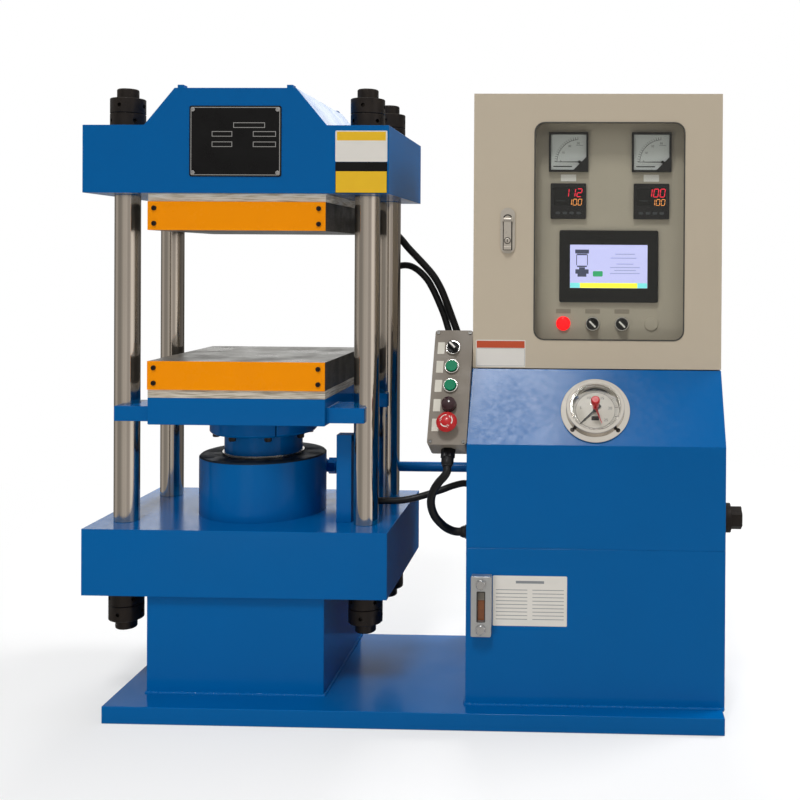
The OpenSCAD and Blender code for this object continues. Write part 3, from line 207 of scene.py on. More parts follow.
# %% Metal and board materials
def layered_board(name, pale, middle, dark):
    """The cut edge of a pressed board: long, thin layers of three tones."""
    material = surface(name, pale, middle, 30, (45, 45, 2.2), 0.15, (0.7, 0.85))
    tree = material.node_tree
    stretch = next(n for n in tree.nodes if n.type == "MAPPING")
    layers = add_node(tree, "ShaderNodeTexNoise", {"Vector": stretch.outputs[0], "Scale": 1.0, "Detail": 5.0})
    tones = add_node(tree, "ShaderNodeValToRGB", {"Fac": layers.outputs["Fac"]})
    tones.color_ramp.elements.new(0.5)
    for element, (at, tone) in zip(tones.color_ramp.elements, ((0.36, dark), (0.46, middle), (0.58, pale))):
        element.position, element.color = at, linear(tone)
    shader = next(n for n in tree.nodes if n.type == "BSDF_PRINCIPLED")
    tree.links.new(tones.outputs["Color"], shader.inputs["Base Color"])
    return material


# The columns between their threads, where the guides run
hard_chrome = surface(
    "hard_chrome", "#D6CEC4", "#CBC3B9", 150, (3, 3, 160), 0.003, (0.1, 0.17), Metallic=1.0
)
# The rings round the controls
bright_chrome = surface(
    "bright_chrome_plate", "#D6D4D0", "#CCCAC6", 40, (9, 9, 9), 0.003, (0.08, 0.15), Metallic=1.0
)
# The gauge's pressed case and flange
polished_steel = surface(
    "polished_stainless", "#E6E1D9", "#DBD6CE", 40, (9, 9, 9), 0.004, (0.12, 0.2), Metallic=1.0
)
# The door lock
satin_nickel = surface(
    "satin_nickel_plate", "#CFC8BD", "#C6BFB4", 30, (4, 4, 4), 0.006, (0.34, 0.44), Metallic=0.6
)
# Nuts, screws, the columns' ends and the valve
black_oxide = surface(
    "black_oxide_steel", "#1F1F22", "#3A322B", 22, (2, 2, 2), 0.03, (0.3, 0.48), Metallic=0.7
)
# The plates' working faces
ground_steel = surface(
    "ground_plate_steel", "#767470", "#696763", 70, (50, 50, 1.4), 0.01, (0.3, 0.42), Metallic=0.9
)
# The cylinder's machined top, dark with oil
oiled_steel = surface(
    "oiled_machined_steel", "#2B353F", "#242D36", 30, (30, 30, 1.5), 0.01, (0.45, 0.6),
    Specular_IOR_Level=0.03
)
# The plates' sides, darkened by heat, and the pendant's screws
dull_steel = surface("mill_steel", "#6B6A68", "#5C5B59", 40, (30, 30, 1.5), 0.015, (0.38, 0.5), Metallic=0.85)
# The wiper ring, the hinge pins and a stem
turned_steel = surface(
    "turned_steel", "#BDBBB7", "#AFADA9", 30, (30, 30, 0.8), 0.008, (0.2, 0.3), Metallic=1.0
)
# The upper insulation: the same board coloured paler, as painted light against the shade under the beam
board_painted_paler = layered_board("fibre_board_painted_paler", "#FFF8EA", "#EADFCB", "#C8B99F")
# The lower insulation, browned by heat
fibre_board = layered_board("pressed_fibre_board", "#D6CFC2", "#BCB2A1", "#978C7A")
# The level gauge's body
cast_alloy = surface("cast_aluminium", "#CDCFD0", "#C0C2C3", 25, (3, 3, 3), 0.03, (0.36, 0.48), Metallic=0.85)
print(len(bpy.data.materials), "materials so far")

# %% [markdown]
# ## Plastics, rubber and print
# Moulded switch parts have a fine spark-eroded texture. The conduits are steel spirals in a smooth
# black PVC skin. Labels and dials are printed card or plastic film, and the displays glow.

# %% Plastic, rubber and print materials
# Meter cases, selectors and glands
black_plastic = surface(
    "black_moulded_plastic", "#1B1B1D", "#161618", 20, (1.5, 1.5, 1.5), 0.02, (0.38, 0.5),
    Specular_IOR_Level=0.25
)
# The outside of conduits and cables
conduit_skin = surface(
    "black_pvc_skin", "#0E0E10", "#141416", 30, (4, 4, 4), 0.03, (0.36, 0.48), Specular_IOR_Level=0.3
)
# The pendant's box and lid, and the rim of the level glass
grey_casting = surface(
    "taupe_die_cast_box", "#8B8379", "#847C72", 45, (3, 3, 3), 0.05, (0.42, 0.54), Specular_IOR_Level=0.2
)
# The stop button, and the gauge's knob and set hand
red_plastic = surface("red_moulded_plastic", "#C4161C", "#B81218", 20, (2, 2, 2), 0.01, (0.24, 0.34))
# The two push buttons
green_plastic = surface(
    "green_moulded_plastic", "#00845C", "#007A54", 20, (2, 2, 2), 0.01, (0.26, 0.36), Specular_IOR_Level=0.1
)
# The pendant's unlit lamp
dark_lens = surface(
    "dark_red_lamp_lens", "#34101A", "#2A0A14", 9, (2, 2, 2), 0.02, (0.1, 0.18), Coat_Weight=0.15
)
# The profile round the window; its dark grey is partly painted shade along the cut-out's edge
seal_with_painted_shade = surface("grey_seal_with_painted_shade", "#4C4A45", "#45433F", 25, (2, 2, 2), 0.03, (0.55, 0.7))
# The level gauge's seal
rubber_seal = surface("black_rubber_seal", "#1C1C1C", "#232323", 25, (2, 2, 2), 0.03, (0.55, 0.7))
# The pendant's labels
ivory_film = surface("ivory_printed_film", "#D6D1C4", "#CFCABC", 30, (2, 2, 2), 0.01, (0.4, 0.5))
# Cards, labels and pointer lines
white_card = surface("white_printed_card", "#EAE6DF", "#E3DFD8", 40, (3, 3, 3), 0.01, (0.45, 0.55))
# The ammeters' dials
meter_card = surface("grey_meter_card", "#CFCFD0", "#C9C9CA", 30, (3, 3, 3), 0.01, (0.45, 0.55))
# Bars where lines of print would be
grey_print = surface("grey_ink", "#8E9296", "#868A8E", 30, (3, 3, 3), 0.01, (0.45, 0.55))
# Scales, needles and the plate on the beam, and painted shade: the lock's gap and the key's slot
dark_print_and_shade = surface(
    "black_ink_with_painted_shade", "#0C0C0D", "#111112", 30, (3, 3, 3), 0.01, (0.3, 0.4), Specular_IOR_Level=0.2
)
# Bands of the beam's films
yellow_print = surface("yellow_ink", "#F2C21C", "#ECBA12", 30, (3, 3, 3), 0.01, (0.4, 0.5))
# The band of the door's film
rust_print = surface("rust_red_ink", "#C9532F", "#C24B28", 30, (3, 3, 3), 0.01, (0.4, 0.5))
# Labels under the screen
row_film = surface("grey_brown_film", "#93897A", "#8C8273", 12, (2, 2, 2), 0.01, (0.4, 0.5))
# The pressure gauge's dial
cream_dial = surface("cream_dial_paint", "#D8D3C6", "#D1CCBE", 30, (3, 3, 3), 0.01, (0.4, 0.5))
# Controllers' windows and the screen's frame
display_black = surface(
    "smoked_display_window", "#0A0C0D", "#0E1112", 20, (4, 4, 4), 0.005, (0.08, 0.14),
    Specular_IOR_Level=0.25
)
# The controllers' keys
key_grey = surface("grey_rubber_keys", "#3A3E42", "#34383C", 10, (2, 2, 2), 0.01, (0.45, 0.55))
# Oil behind the level glass
amber_oil = surface(
    "amber_oil_behind_glass", "#8A4A12", "#6E3709", 18, (6, 6, 6), 0.01, (0.06, 0.12), Coat_Weight=0.7
)
# Small screws and the switch's barrel
zinc_plate = surface(
    "bright_zinc_plate", "#C9CACB", "#BCBDBE", 12, (4, 4, 4), 0.008, (0.22, 0.34), Metallic=1.0
)
print(len(bpy.data.materials), "materials so far")

# %% [markdown]
# ## Light that comes from the piece itself
# Displays and a lit lamp are seen by their own light. A low emission over a glossy base of the same
# colour keeps the colour that the eye expects, where a strong one would wash out to white.


# %% Glowing materials
def glowing(name, colour, strength):
    """A display or lamp colour seen by its own light, behind a glossy skin."""
    return surface(
        name, colour, colour, 15, (2, 2, 2), 0.005, (0.15, 0.2),
        Emission_Color=linear(colour), Emission_Strength=strength, Specular_IOR_Level=0.2,
    )


# The lit lamp on the panel
lamp_red = glowing("lit_red_lens", "#FF0A14", 0.9)
# A controller's upper figures
digit_red = glowing("red_segments", "#F02640", 0.8)
# A controller's lower figures
digit_amber = glowing("amber_segments", "#F09A50", 0.7)
# The screen's ground
screen_lilac = glowing("lilac_screen", "#BFC0EE", 0.5)
# Its lines of settings
screen_grey = glowing("grey_screen_field", "#8F96B4", 0.45)
# Its green field
screen_green = glowing("green_screen_field", "#35A06A", 0.45)
# Its bar of keys
screen_yellow = glowing("yellow_screen_field", "#ECE83C", 0.75)
# The bar's two ends
screen_cyan = glowing("cyan_screen_field", "#78D8D8", 0.6)
# Its drawing of the press
screen_slate = glowing("slate_screen_field", "#4A4F66", 0.25)
print(len(bpy.data.materials), "materials so far")

# %% [markdown]
# ## Clear window
# The door's pane and the gauge's dome are clear acrylic. Glass darkens what stands behind it unless
# the lamps can shine through, so shadow and diffuse rays pass the sheet freely and only the
# camera's and the mirror rays see its gloss.


# %% Clear acrylic
def clear_acrylic(name, tint, gloss):
    """Thin clear plastic: nearly all see-through, with a mirror skin that grows at a glancing look."""
    material = bpy.data.materials.new(name)
    material.use_nodes = True
    tree = material.node_tree
    tree.nodes.clear()
    place = add_node(tree, "ShaderNodeTexCoord").outputs["Object"]
    haze = add_node(tree, "ShaderNodeTexNoise", {"Vector": place, "Scale": 1 / (60 * MM), "Detail": 2.0})
    polish = add_node(
        tree, "ShaderNodeMapRange", {"Value": haze.outputs["Fac"], "To Min": 0.0, "To Max": 0.06}
    )
    through = add_node(tree, "ShaderNodeBsdfTransparent", {"Color": linear(tint)})
    skin = add_node(
        tree, "ShaderNodeBsdfGlossy", {"Color": linear("#FFFFFF"), "Roughness": polish.outputs[0]}
    )
    grazing = add_node(tree, "ShaderNodeFresnel", {"IOR": gloss})
    path = add_node(tree, "ShaderNodeLightPath")
    passed = add_node(
        tree,
        "ShaderNodeMath",
        {0: path.outputs["Is Shadow Ray"], 1: path.outputs["Is Diffuse Ray"]},
        operation="MAXIMUM",
    )
    seen = add_node(tree, "ShaderNodeMath", {0: 1.0, 1: passed.outputs[0]}, operation="SUBTRACT")
    share = add_node(
        tree, "ShaderNodeMath", {0: grazing.outputs[0], 1: seen.outputs[0]}, operation="MULTIPLY"
    )
    sheet = add_node(
        tree, "ShaderNodeMixShader", {0: share.outputs[0], 1: through.outputs[0], 2: skin.outputs[0]}
    )
    add_node(tree, "ShaderNodeOutputMaterial", {"Surface": sheet.outputs[0]})
    return material


# The window and the meters' fronts
clear_pane = clear_acrylic("clear_acrylic_pane", "#FDFEFD", 1.3)
# The gauge's cover
clear_dome = clear_acrylic("clear_acrylic_dome", "#FAFAFA", 1.4)
print(len(bpy.data.materials), "materials so far")

# %% [markdown]
# ## Dressing the CAD pieces
# A machined or folded edge is never razor sharp: it carries a small chamfer or a paint-softened
# round, and that thin line of light is what makes a solid look real. Each CAD piece is copied, its
# flat faces are joined again, its edges are rounded by about a millimetre and the copy takes the
# place of the plain solid.


# %% Dressing helper
def own_mesh(obj):
    """The object's mesh as its modifiers leave it."""
    graph = bpy.context.evaluated_depsgraph_get()
    return bpy.data.meshes.new_from_object(obj.evaluated_get(graph))


def flat_shaded(maker, crease):
    """The mesh shaded smooth round its edges, with its large faces kept flat."""
    maker.data.shade_smooth()
    maker.data.set_sharp_from_angle(angle=math.radians(crease))
    flatten = maker.modifiers.new("flatten", "WEIGHTED_NORMAL")
    flatten.keep_sharp = True
    return own_mesh(maker)


def show(name, mesh, body, slot, *replaced):
    """Puts a finished mesh in the scene, on its body."""
    obj = bpy.data.objects.new(name, mesh)
    bpy.context.scene.collection.objects.link(obj)
    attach(obj, body)
    if replaced:
        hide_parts(*replaced)
    return obj


slot_of = {part["node"]: part["material_slot"] for part in frame["record"]["subparts"]}


def dress(node, *finishes, edge=1.2, crease=40, pick=None):
    """A CAD node with its edges rounded where they turn by more than crease degrees, in its own finish.

    pick gives a face's finish from its normal and middle."""
    bm = bmesh.new()
    bm.from_mesh(frame["nodes"][node].data)
    bmesh.ops.remove_doubles(bm, verts=bm.verts, dist=1e-6)
    bmesh.ops.dissolve_limit(bm, angle_limit=math.radians(0.5), verts=bm.verts, edges=bm.edges)
    rough = bpy.data.meshes.new(node + "_skin")
    bm.to_mesh(rough)
    bm.free()
    rough.materials.clear()
    for finish in finishes:
        rough.materials.append(finish)
    maker = bpy.data.objects.new("maker", rough)
    bpy.context.scene.collection.objects.link(maker)
    if edge:
        round_off = maker.modifiers.new("edge", "BEVEL")
        round_off.width = edge * MM
        round_off.segments = 2
        round_off.limit_method = "ANGLE"
        round_off.angle_limit = math.radians(crease)
    mesh = own_mesh(maker)
    for face in mesh.polygons:
        face.material_index = pick(face.normal, face.center / MM) if pick else 0
    maker.modifiers.clear()
    maker.data = mesh
    mesh = flat_shaded(maker, crease)
    mesh.name = node + "_skin"
    bpy.data.objects.remove(maker)
    return show(node + "_dressed", mesh, body_of[node], slot_of[node], node)


print(len(slot_of), "CAD pieces to dress")

# %% [markdown]
# ## Dressing the press
# The frame is welded and machined plate under one coat of blue. The cylinder's upper face stays bare
# steel, because the ram's seal housing is machined there after painting. The platens keep their
# ground faces, and heat has darkened their sides.

# %% The press
for node in (
    "base_plate", "pedestal", "lower_block", "upper_beam", "switch_post", "oil_pipe", "moving_beam", "ram"
):
    dress(node, blue_enamel, edge=1.6)
dress("clamp_ring", blue_enamel, edge=1.0)
dress("cylinder", blue_enamel, oiled_steel, edge=2.0, pick=lambda n, c: int(n.z > 0.7 and c.z > 470))
dress("wiper_ring", turned_steel, edge=0.6)
dress("tie_columns", hard_chrome, black_oxide, edge=0.8, pick=lambda n, c: int(not 356 < c.z < 1012))
dress("tie_nuts", black_oxide, edge=1.0)
for node in ("upper_platen", "lower_platen"):
    dress(node, dull_steel, ground_steel, edge=0.8, pick=lambda n, c: int(abs(n.z) > 0.7))
# Painted light: the upper board is coloured paler to offset the shade under the beam
dress("upper_insulation", board_painted_paler, edge=0.5)
dress("lower_insulation", fibre_board, edge=0.5)
for node in ("upper_cover", "lower_cover"):
    dress(node, orange_enamel, edge=0.6)
dress("proximity_switch", zinc_plate, black_plastic, edge=0.6, pick=lambda n, c: int(c.z < 478))
print("the press is dressed")

# %% [markdown]
# ## Dressing the cabinet
# The oil tank, the sloping console and the back cover belong to the press and share its blue. The
# switch box above is a bought steel enclosure in beige, with a swinging door and a clear window.

# %% The cabinet
dress("oil_tank", blue_enamel, edge=1.2)
dress("cabinet_body", blue_enamel, edge=0.9, crease=25)
dress("rear_cover", blue_enamel, edge=0.6)
for node in ("electrical_box", "door"):
    dress(node, beige_powder, edge=0.7)
dress("instrument_panel", panel_powder, edge=0.8)
dress("window_pane", clear_pane, edge=0)
dress("hinge_pins", turned_steel, edge=0.5)
dress("lock_plate", satin_nickel, edge=1.0)
dress("lock_handle", satin_nickel, edge=1.5)
dress("pump_unit", motor_grey, edge=1.2)
dress("relief_valve", black_oxide, edge=1.0)
dress("relief_adjuster", black_oxide, edge=1.0)
dress("level_gauge", cast_alloy, edge=1.0)
print("the cabinet is dressed")

# %% [markdown]
# ## Dressing the instruments
# Meters and controllers are black panel-mount cases. The pressure gauge has a polished flange under a
# domed acrylic cover, and its red knob sets the contact hand. The flange is pressed, so its face is
# crowned and never mirrors one lamp all over: leaning the shading normals outwards gives that look
# without a single extra face. The pendant is a cast box with five controls in plated rings.


# %% The instruments
def dished(material, middle, tilt, crown):
    """Leans a material's normals outwards from an axis, as a pressed ring's crowned face does."""
    tree = material.node_tree
    axis = Vector((0, -math.cos(math.radians(tilt)), math.sin(math.radians(tilt))))
    place = next(n for n in tree.nodes if n.type == "TEX_COORD").outputs["Object"]
    arm = add_node(tree, "ShaderNodeVectorMath", {0: place, 1: Vector(middle) * MM}, operation="SUBTRACT")
    along = add_node(tree, "ShaderNodeVectorMath", {0: arm.outputs[0], 1: axis}, operation="PROJECT")
    out = add_node(
        tree, "ShaderNodeVectorMath", {0: arm.outputs[0], 1: along.outputs[0]}, operation="SUBTRACT"
    )
    unit = add_node(tree, "ShaderNodeVectorMath", {0: out.outputs[0]}, operation="NORMALIZE")
    lean = add_node(tree, "ShaderNodeVectorMath", {0: unit.outputs[0], "Scale": crown}, operation="SCALE")
    lift = next(n for n in tree.nodes if n.type == "BUMP")
    both = add_node(tree, "ShaderNodeVectorMath", {0: lift.outputs[0], 1: lean.outputs[0]}, operation="ADD")
    level = add_node(tree, "ShaderNodeVectorMath", {0: both.outputs[0]}, operation="NORMALIZE")
    shader = next(n for n in tree.nodes if n.type == "BSDF_PRINCIPLED")
    tree.links.new(level.outputs[0], shader.inputs["Normal"])
    return material


GAUGE_MIDDLE, GAUGE_TILT, GAUGE_CROWN = (701, -161.03, 593.08), 33.2, 0.22
for node in ("ammeters", "temperature_controllers"):
    dress(node, black_plastic, edge=0.8)
dress("touch_panel", display_black, edge=0.8)
for node in ("panel_selector_left", "panel_selector_right", "pendant_selector"):
    dress(node, black_plastic, edge=1.0)
for node in ("gauge_pointer", "ammeter_needle_left", "ammeter_needle_right"):
    dress(node, dark_print_and_shade, edge=0)
dress("control_bezels", bright_chrome, edge=0.8)
dress("pilot_lamps", lamp_red, dark_lens, edge=0.6, pick=lambda n, c: int(c.x < 500))
dress("upper_button", green_plastic, edge=0.8)
dress("lower_button", green_plastic, edge=0.8)
dress("estop_stem", turned_steel, edge=0.5)
dress("estop_head", red_plastic, edge=1.0)
dress("gauge_case", dished(polished_steel, GAUGE_MIDDLE, GAUGE_TILT, GAUGE_CROWN), edge=1.0)
dress("gauge_cover", clear_dome, edge=0)
dress("gauge_knob", red_plastic, edge=0.8)
dress("pendant_box", grey_casting, edge=1.0)
dress("pendant_lid", grey_casting, edge=1.0)
dress("cable_glands", black_plastic, edge=0.8)
dress("lower_gland", black_plastic, edge=0.8)
print("the instruments are dressed")

# %% [markdown]
# ## Conduits and cables
# Four black lines join the heated plates, the pendant and the proximity switch to the cabinet. They
# are stiff: each leaves its gland straight and sags only a little. A short node tree sweeps a round
# profile along each route.


# %% Conduit tree
def new_tree(name, **sockets):
    """An empty geometry tree with named inputs, and its input sockets."""
    tree = bpy.data.node_groups.new(name, "GeometryNodeTree")
    tree.interface.new_socket("Geometry", in_out="INPUT", socket_type="NodeSocketGeometry")
    for label, kind in sockets.items():
        tree.interface.new_socket(label, in_out="INPUT", socket_type="NodeSocket" + kind)
    tree.interface.new_socket("Geometry", in_out="OUTPUT", socket_type="NodeSocketGeometry")
    return tree, tree.nodes.new("NodeGroupInput").outputs


def end_tree(tree, grown, finish):
    """Ends a geometry tree in plain geometry with its finish set."""
    plain = add_node(tree, "GeometryNodeRealizeInstances", {"Geometry": grown})
    coated = add_node(tree, "GeometryNodeSetMaterial", {"Geometry": plain.outputs[0], "Material": finish})
    add_node(tree, "NodeGroupOutput", {"Geometry": coated.outputs[0]})


def grow(name, mesh, tree, **values):
    """Runs a geometry tree on a mesh and returns the plain result."""
    maker = bpy.data.objects.new("maker", mesh)
    bpy.context.scene.collection.objects.link(maker)
    modifier = maker.modifiers.new("grow", "NODES")
    modifier.node_group = tree
    for item in tree.interface.items_tree:
        if item.in_out == "INPUT" and item.name in values:
            modifier[item.identifier] = values[item.name]
    grown = own_mesh(maker)
    grown.name = name
    bpy.data.objects.remove(maker)
    return grown


conduit_tree, given = new_tree("conduit_sweep", Diameter="Float", Finish="Material")
line = add_node(conduit_tree, "GeometryNodeMeshToCurve", {"Mesh": given["Geometry"]})
half = add_node(conduit_tree, "ShaderNodeMath", {0: given["Diameter"], 1: 2.0}, operation="DIVIDE")
profile = add_node(
    conduit_tree, "GeometryNodeCurvePrimitiveCircle", {"Resolution": 24, "Radius": half.outputs[0]}
)
swept = add_node(
    conduit_tree,
    "GeometryNodeCurveToMesh",
    {"Curve": line.outputs[0], "Profile Curve": profile.outputs[0], "Fill Caps": True},
)
end_tree(conduit_tree, swept.outputs[0], given["Finish"])
print("conduit tree:", len(conduit_tree.nodes), "nodes")


# %% [markdown]
# ## Conduit routes
# A route is a list of points in millimetres with one smooth curve through them, straight out of one
# gland, round in a bend and on to the next. The lower plate's conduit is laid where the ram stands
# now and is not attached to it, so it doesn't follow the ram.


# %% Conduit routes
def polyline(name, points):
    """A mesh line through points in metres."""
    mesh = bpy.data.meshes.new(name)
    mesh.from_pydata(points, [(i, i + 1) for i in range(len(points) - 1)], [])
    return mesh


def smooth_route(points, steps=6):
    """A curve through every point of a given route, close enough to measure. Points in mm."""
    knots = [Vector(p) * MM for p in points]
    knots = [2 * knots[0] - knots[1]] + knots + [2 * knots[-1] - knots[-2]]
    path = [knots[1]]
    for a, b, c, d in zip(knots, knots[1:], knots[2:], knots[3:]):
        for i in range(1, steps + 1):
            t = i / steps
            line = 2 * b + (c - a) * t
            path.append(0.5 * (line + (2 * a - 5 * b + 4 * c - d) * t**2 + (3 * b - a - 3 * c + d) * t**3))
    return path


def lay_conduit(node, diameter, points):
    """A conduit along a route, in place of the CAD part."""
    path = smooth_route(points)
    mesh = grow(
        node + "_skin", polyline(node, path), conduit_tree, Diameter=diameter * MM, Finish=conduit_skin
    )
    mesh.shade_smooth()
    mesh.set_sharp_from_angle(angle=math.radians(50))
    obj = bpy.data.objects.new(node + "_dressed", mesh)
    bpy.context.scene.collection.objects.link(obj)
    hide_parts(node)
    return obj


upper_route = [
    (200, 150, 966), (212, 150, 966), (228, 150, 961), (246, 150, 947), (263, 150, 930), (278, 150, 912),
    (297, 150, 892), (318, 150, 870), (338, 150, 846), (354, 150, 818), (366, 150, 789), (377, 149, 760),
    (388, 147, 731), (399, 143, 702), (409, 137, 674), (417, 130, 648), (422, 125, 627), (422, 125, 615),
]
lower_route = [
    (50, 200, 656), (50, 206, 656), (52, 223, 654), (60, 241, 646), (74, 253, 632), (90, 256, 616),
    (109, 255, 605), (131, 252, 602), (153, 248, 609), (171, 243, 626), (181, 237, 650),
    (188, 230, 683), (195, 222, 718), (202, 214, 753), (209.5, 206, 790), (217.5, 197, 826),
    (231, 187, 853), (252, 177, 869), (277, 167, 871), (299, 160, 861), (320, 157, 841),
    (335, 157, 816), (348, 157, 788), (360, 156, 759), (370, 152, 729), (380, 143, 700),
    (392, 128, 672), (404.5, 111.5, 650), (414, 100, 633.5), (418.5, 94.3, 623),
    (421.1, 91.1, 611.5), (422, 90, 600), (422, 90, 595),
]
pendant_route = [
    (417, -193.8, 487.4), (417, -198.4, 478.6), (412, -201, 470), (403, -200, 460), (394, -197, 447),
    (388, -193, 433), (385, -187, 418), (386, -180, 402), (391, -172, 386), (399, -164, 373),
    (409, -155, 361), (420, -147, 353), (430, -144, 350), (437, -144, 350),
]
switch_route = [
    (228, -74, 450), (228, -74, 436), (229, -73, 420), (234, -71, 406), (243, -67, 396), (255, -61, 390),
    (268, -55, 388), (284, -50, 387), (300, -46, 387), (318, -41, 389), (338, -36, 393), (360, -31, 399),
    (384, -26, 406), (404, -22, 413), (424, -20, 418), (437, -20, 418),
]
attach(lay_conduit("upper_conduit", 16, upper_route), "machine")
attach(lay_conduit("pendant_conduit", 16, pendant_route), "machine")
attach(lay_conduit("switch_cable", 14, switch_route), "machine")
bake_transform(lay_conduit("lower_conduit", 15, lower_route))

# %% [markdown]
# ## Drawing small flat work
# Plates, cards, dials and digits are thin outlines with a thickness, drawn in the plane of the face
# that they lie on: X to the right, Y up the face, Z out of it. Turned heads are a profile spun round
# that face's Z. Each drawing is collected in one mesh and then set on its face.


# %% Drawing helpers
def on_face(x, y, z, tilt=0.0):
    """The frame of a face at a point in mm that leans back by tilt degrees."""
    return Matrix.Translation(Vector((x, y, z)) * MM) @ Matrix.Rotation(math.radians(90 - tilt), 4, "X")


def shifted(place, x=0.0, y=0.0, z=0.0):
    """A place moved along its own axes, in mm."""
    return place @ Matrix.Translation(Vector((x, y, z)) * MM)


def round_rect(width, height, radius, x=0.0, y=0.0, steps=5):
    """A rectangle with rounded corners, anticlockwise."""
    outline = []
    for quarter, (sx, sy) in enumerate(((1, 1), (-1, 1), (-1, -1), (1, -1))):
        middle_x, middle_y = x + sx * (width / 2 - radius), y + sy * (height / 2 - radius)
        for i in range(steps + 1):
            a = math.radians(90 * (quarter + i / steps))
            outline.append((middle_x + radius * math.cos(a), middle_y + radius * math.sin(a)))
    return outline


def box_outline(width, height, x=0.0, y=0.0):
    """A plain rectangle, anticlockwise."""
    w, h = width / 2, height / 2
    return [(x - w, y - h), (x + w, y - h), (x + w, y + h), (x - w, y + h)]


def disc(radius, x=0.0, y=0.0, sides=48):
    """A circle, anticlockwise."""
    turns = [2 * math.pi * i / sides for i in range(sides)]
    return [(x + radius * math.cos(a), y + radius * math.sin(a)) for a in turns]


def draw(bm, outline, low, high, finish=0):
    """An outline drawn from one height to another."""
    floor = [bm.verts.new((x, y, low)) for x, y in outline]
    top = [bm.verts.new((x, y, high)) for x, y in outline]
    faces = [bm.faces.new(floor[::-1]), bm.faces.new(top)]
    faces += [bm.faces.new((floor[i - 1], floor[i], top[i], top[i - 1])) for i in range(len(top))]
    for face in faces:
        face.material_index = finish


def draw_band(bm, outer, inner, low, high, finish=0):
    """The band between two outlines of as many points."""
    rings = [[bm.verts.new((x, y, z)) for x, y in line] for line in (outer, inner) for z in (low, high)]
    out_low, out_high, in_low, in_high = rings
    for i in range(len(outer)):
        for quad in (
            (out_low[i - 1], out_low[i], out_high[i], out_high[i - 1]),
            (out_high[i - 1], out_high[i], in_high[i], in_high[i - 1]),
            (in_high[i - 1], in_high[i], in_low[i], in_low[i - 1]),
            (in_low[i - 1], in_low[i], out_low[i], out_low[i - 1]),
        ):
            bm.faces.new(quad).material_index = finish


def draw_turned(bm, profile, sides=24, finish=0):
    """A profile of (radius, height) spun round Z. A third entry makes that ring six-sided."""
    rings = []
    for radius, height, *hexed in profile:
        ring = []
        for i in range(sides):
            a = 2 * math.pi * i / sides
            reach = radius / math.cos((a + math.pi / 6) % (math.pi / 3) - math.pi / 6) if hexed else radius
            ring.append(bm.verts.new((reach * math.cos(a), reach * math.sin(a), height)))
        rings.append(ring)
    for lower, upper in zip(rings, rings[1:]):
        for i in range(sides):
            bm.faces.new((lower[i - 1], lower[i], upper[i], upper[i - 1])).material_index = finish
    bm.faces.new(rings[0][::-1]).material_index = finish
    bm.faces.new(rings[-1]).material_index = finish


def draw_number(bm, text, size, x, y, height, finish):
    """A printed number, flat on a dial, with its middle at x, y."""
    curve = bpy.data.curves.new("number", "FONT")
    curve.body, curve.size, curve.align_x, curve.align_y = text, size, "CENTER", "CENTER"
    maker = bpy.data.objects.new("maker", curve)
    bpy.context.scene.collection.objects.link(maker)
    mesh = own_mesh(maker)
    bpy.data.objects.remove(maker)
    mesh.transform(Matrix.Translation((x, y, height)))
    first = len(bm.faces)
    bm.from_mesh(mesh)
    bm.faces.ensure_lookup_table()
    for face in bm.faces[first:]:
        face.material_index = finish


def settle(name, bm, place, body, slot, *finishes):
    """Sets a drawing in mm on its face and shows it on its body."""
    bm.transform(place @ Matrix.Scale(MM, 4))
    mesh = bpy.data.meshes.new(name)
    bm.to_mesh(mesh)
    bm.free()
    for finish in finishes:
        mesh.materials.append(finish)
    mesh.shade_smooth()
    mesh.set_sharp_from_angle(angle=math.radians(34))
    print(name, len(mesh.polygons), "faces")
    return show(name, mesh, body, slot)


print("drawing helpers ready")

# %% [markdown]
# ## Screws and bolts
# Fasteners repeat, so a node tree sets one drawn head on many points. Every point carries the turn
# that its head needs, and the tree ends in plain geometry with its finish set. Socket heads hold the
# plate covers, hex heads the clamp ring and the level gauge.

# %% Placing tree and heads
set_tree, given = new_tree("set_on_points", Piece="Object", Finish="Material")
turn = add_node(set_tree, "GeometryNodeInputNamedAttribute", {"Name": "turn"}, data_type="FLOAT_VECTOR")
facing = add_node(set_tree, "FunctionNodeEulerToRotation", {"Euler": turn.outputs["Attribute"]})
head = add_node(set_tree, "GeometryNodeObjectInfo", {"Object": given["Piece"]})
placed = add_node(
    set_tree,
    "GeometryNodeInstanceOnPoints",
    {"Points": given["Geometry"], "Instance": head.outputs["Geometry"], "Rotation": facing.outputs[0]},
)
end_tree(set_tree, placed.outputs[0], given["Finish"])


def repeat(name, bm, places, finish, body, slot):
    """One drawing in mm, set at every place by the tree."""
    bm.transform(Matrix.Scale(MM, 4))
    pattern = bpy.data.meshes.new("pattern")
    bm.to_mesh(pattern)
    bm.free()
    piece = bpy.data.objects.new("pattern", pattern)
    bpy.context.scene.collection.objects.link(piece)
    points = bpy.data.meshes.new("points")
    points.from_pydata([p.translation for p in places], [], [])
    turns = points.attributes.new("turn", "FLOAT_VECTOR", "POINT")
    for item, p in zip(turns.data, places):
        item.vector = p.to_euler()
    mesh = grow(name, points, set_tree, Piece=piece, Finish=finish)
    bpy.data.objects.remove(piece)
    mesh.shade_smooth()
    mesh.set_sharp_from_angle(angle=math.radians(34))
    print(name, len(places), "pieces,", len(mesh.polygons), "faces")
    return show(name, mesh, body, slot)


def socket_head(width, height):
    """A socket screw's head: a chamfered drum with a six-sided key hole."""
    bm = bmesh.new()
    r = width / 2
    key_hole = [(r * 0.5, height, "hex"), (r * 0.5, height * 0.4, "hex")]
    draw_turned(bm, [(r, 0), (r, height * 0.85), (r * 0.9, height)] + key_hole)
    return bm


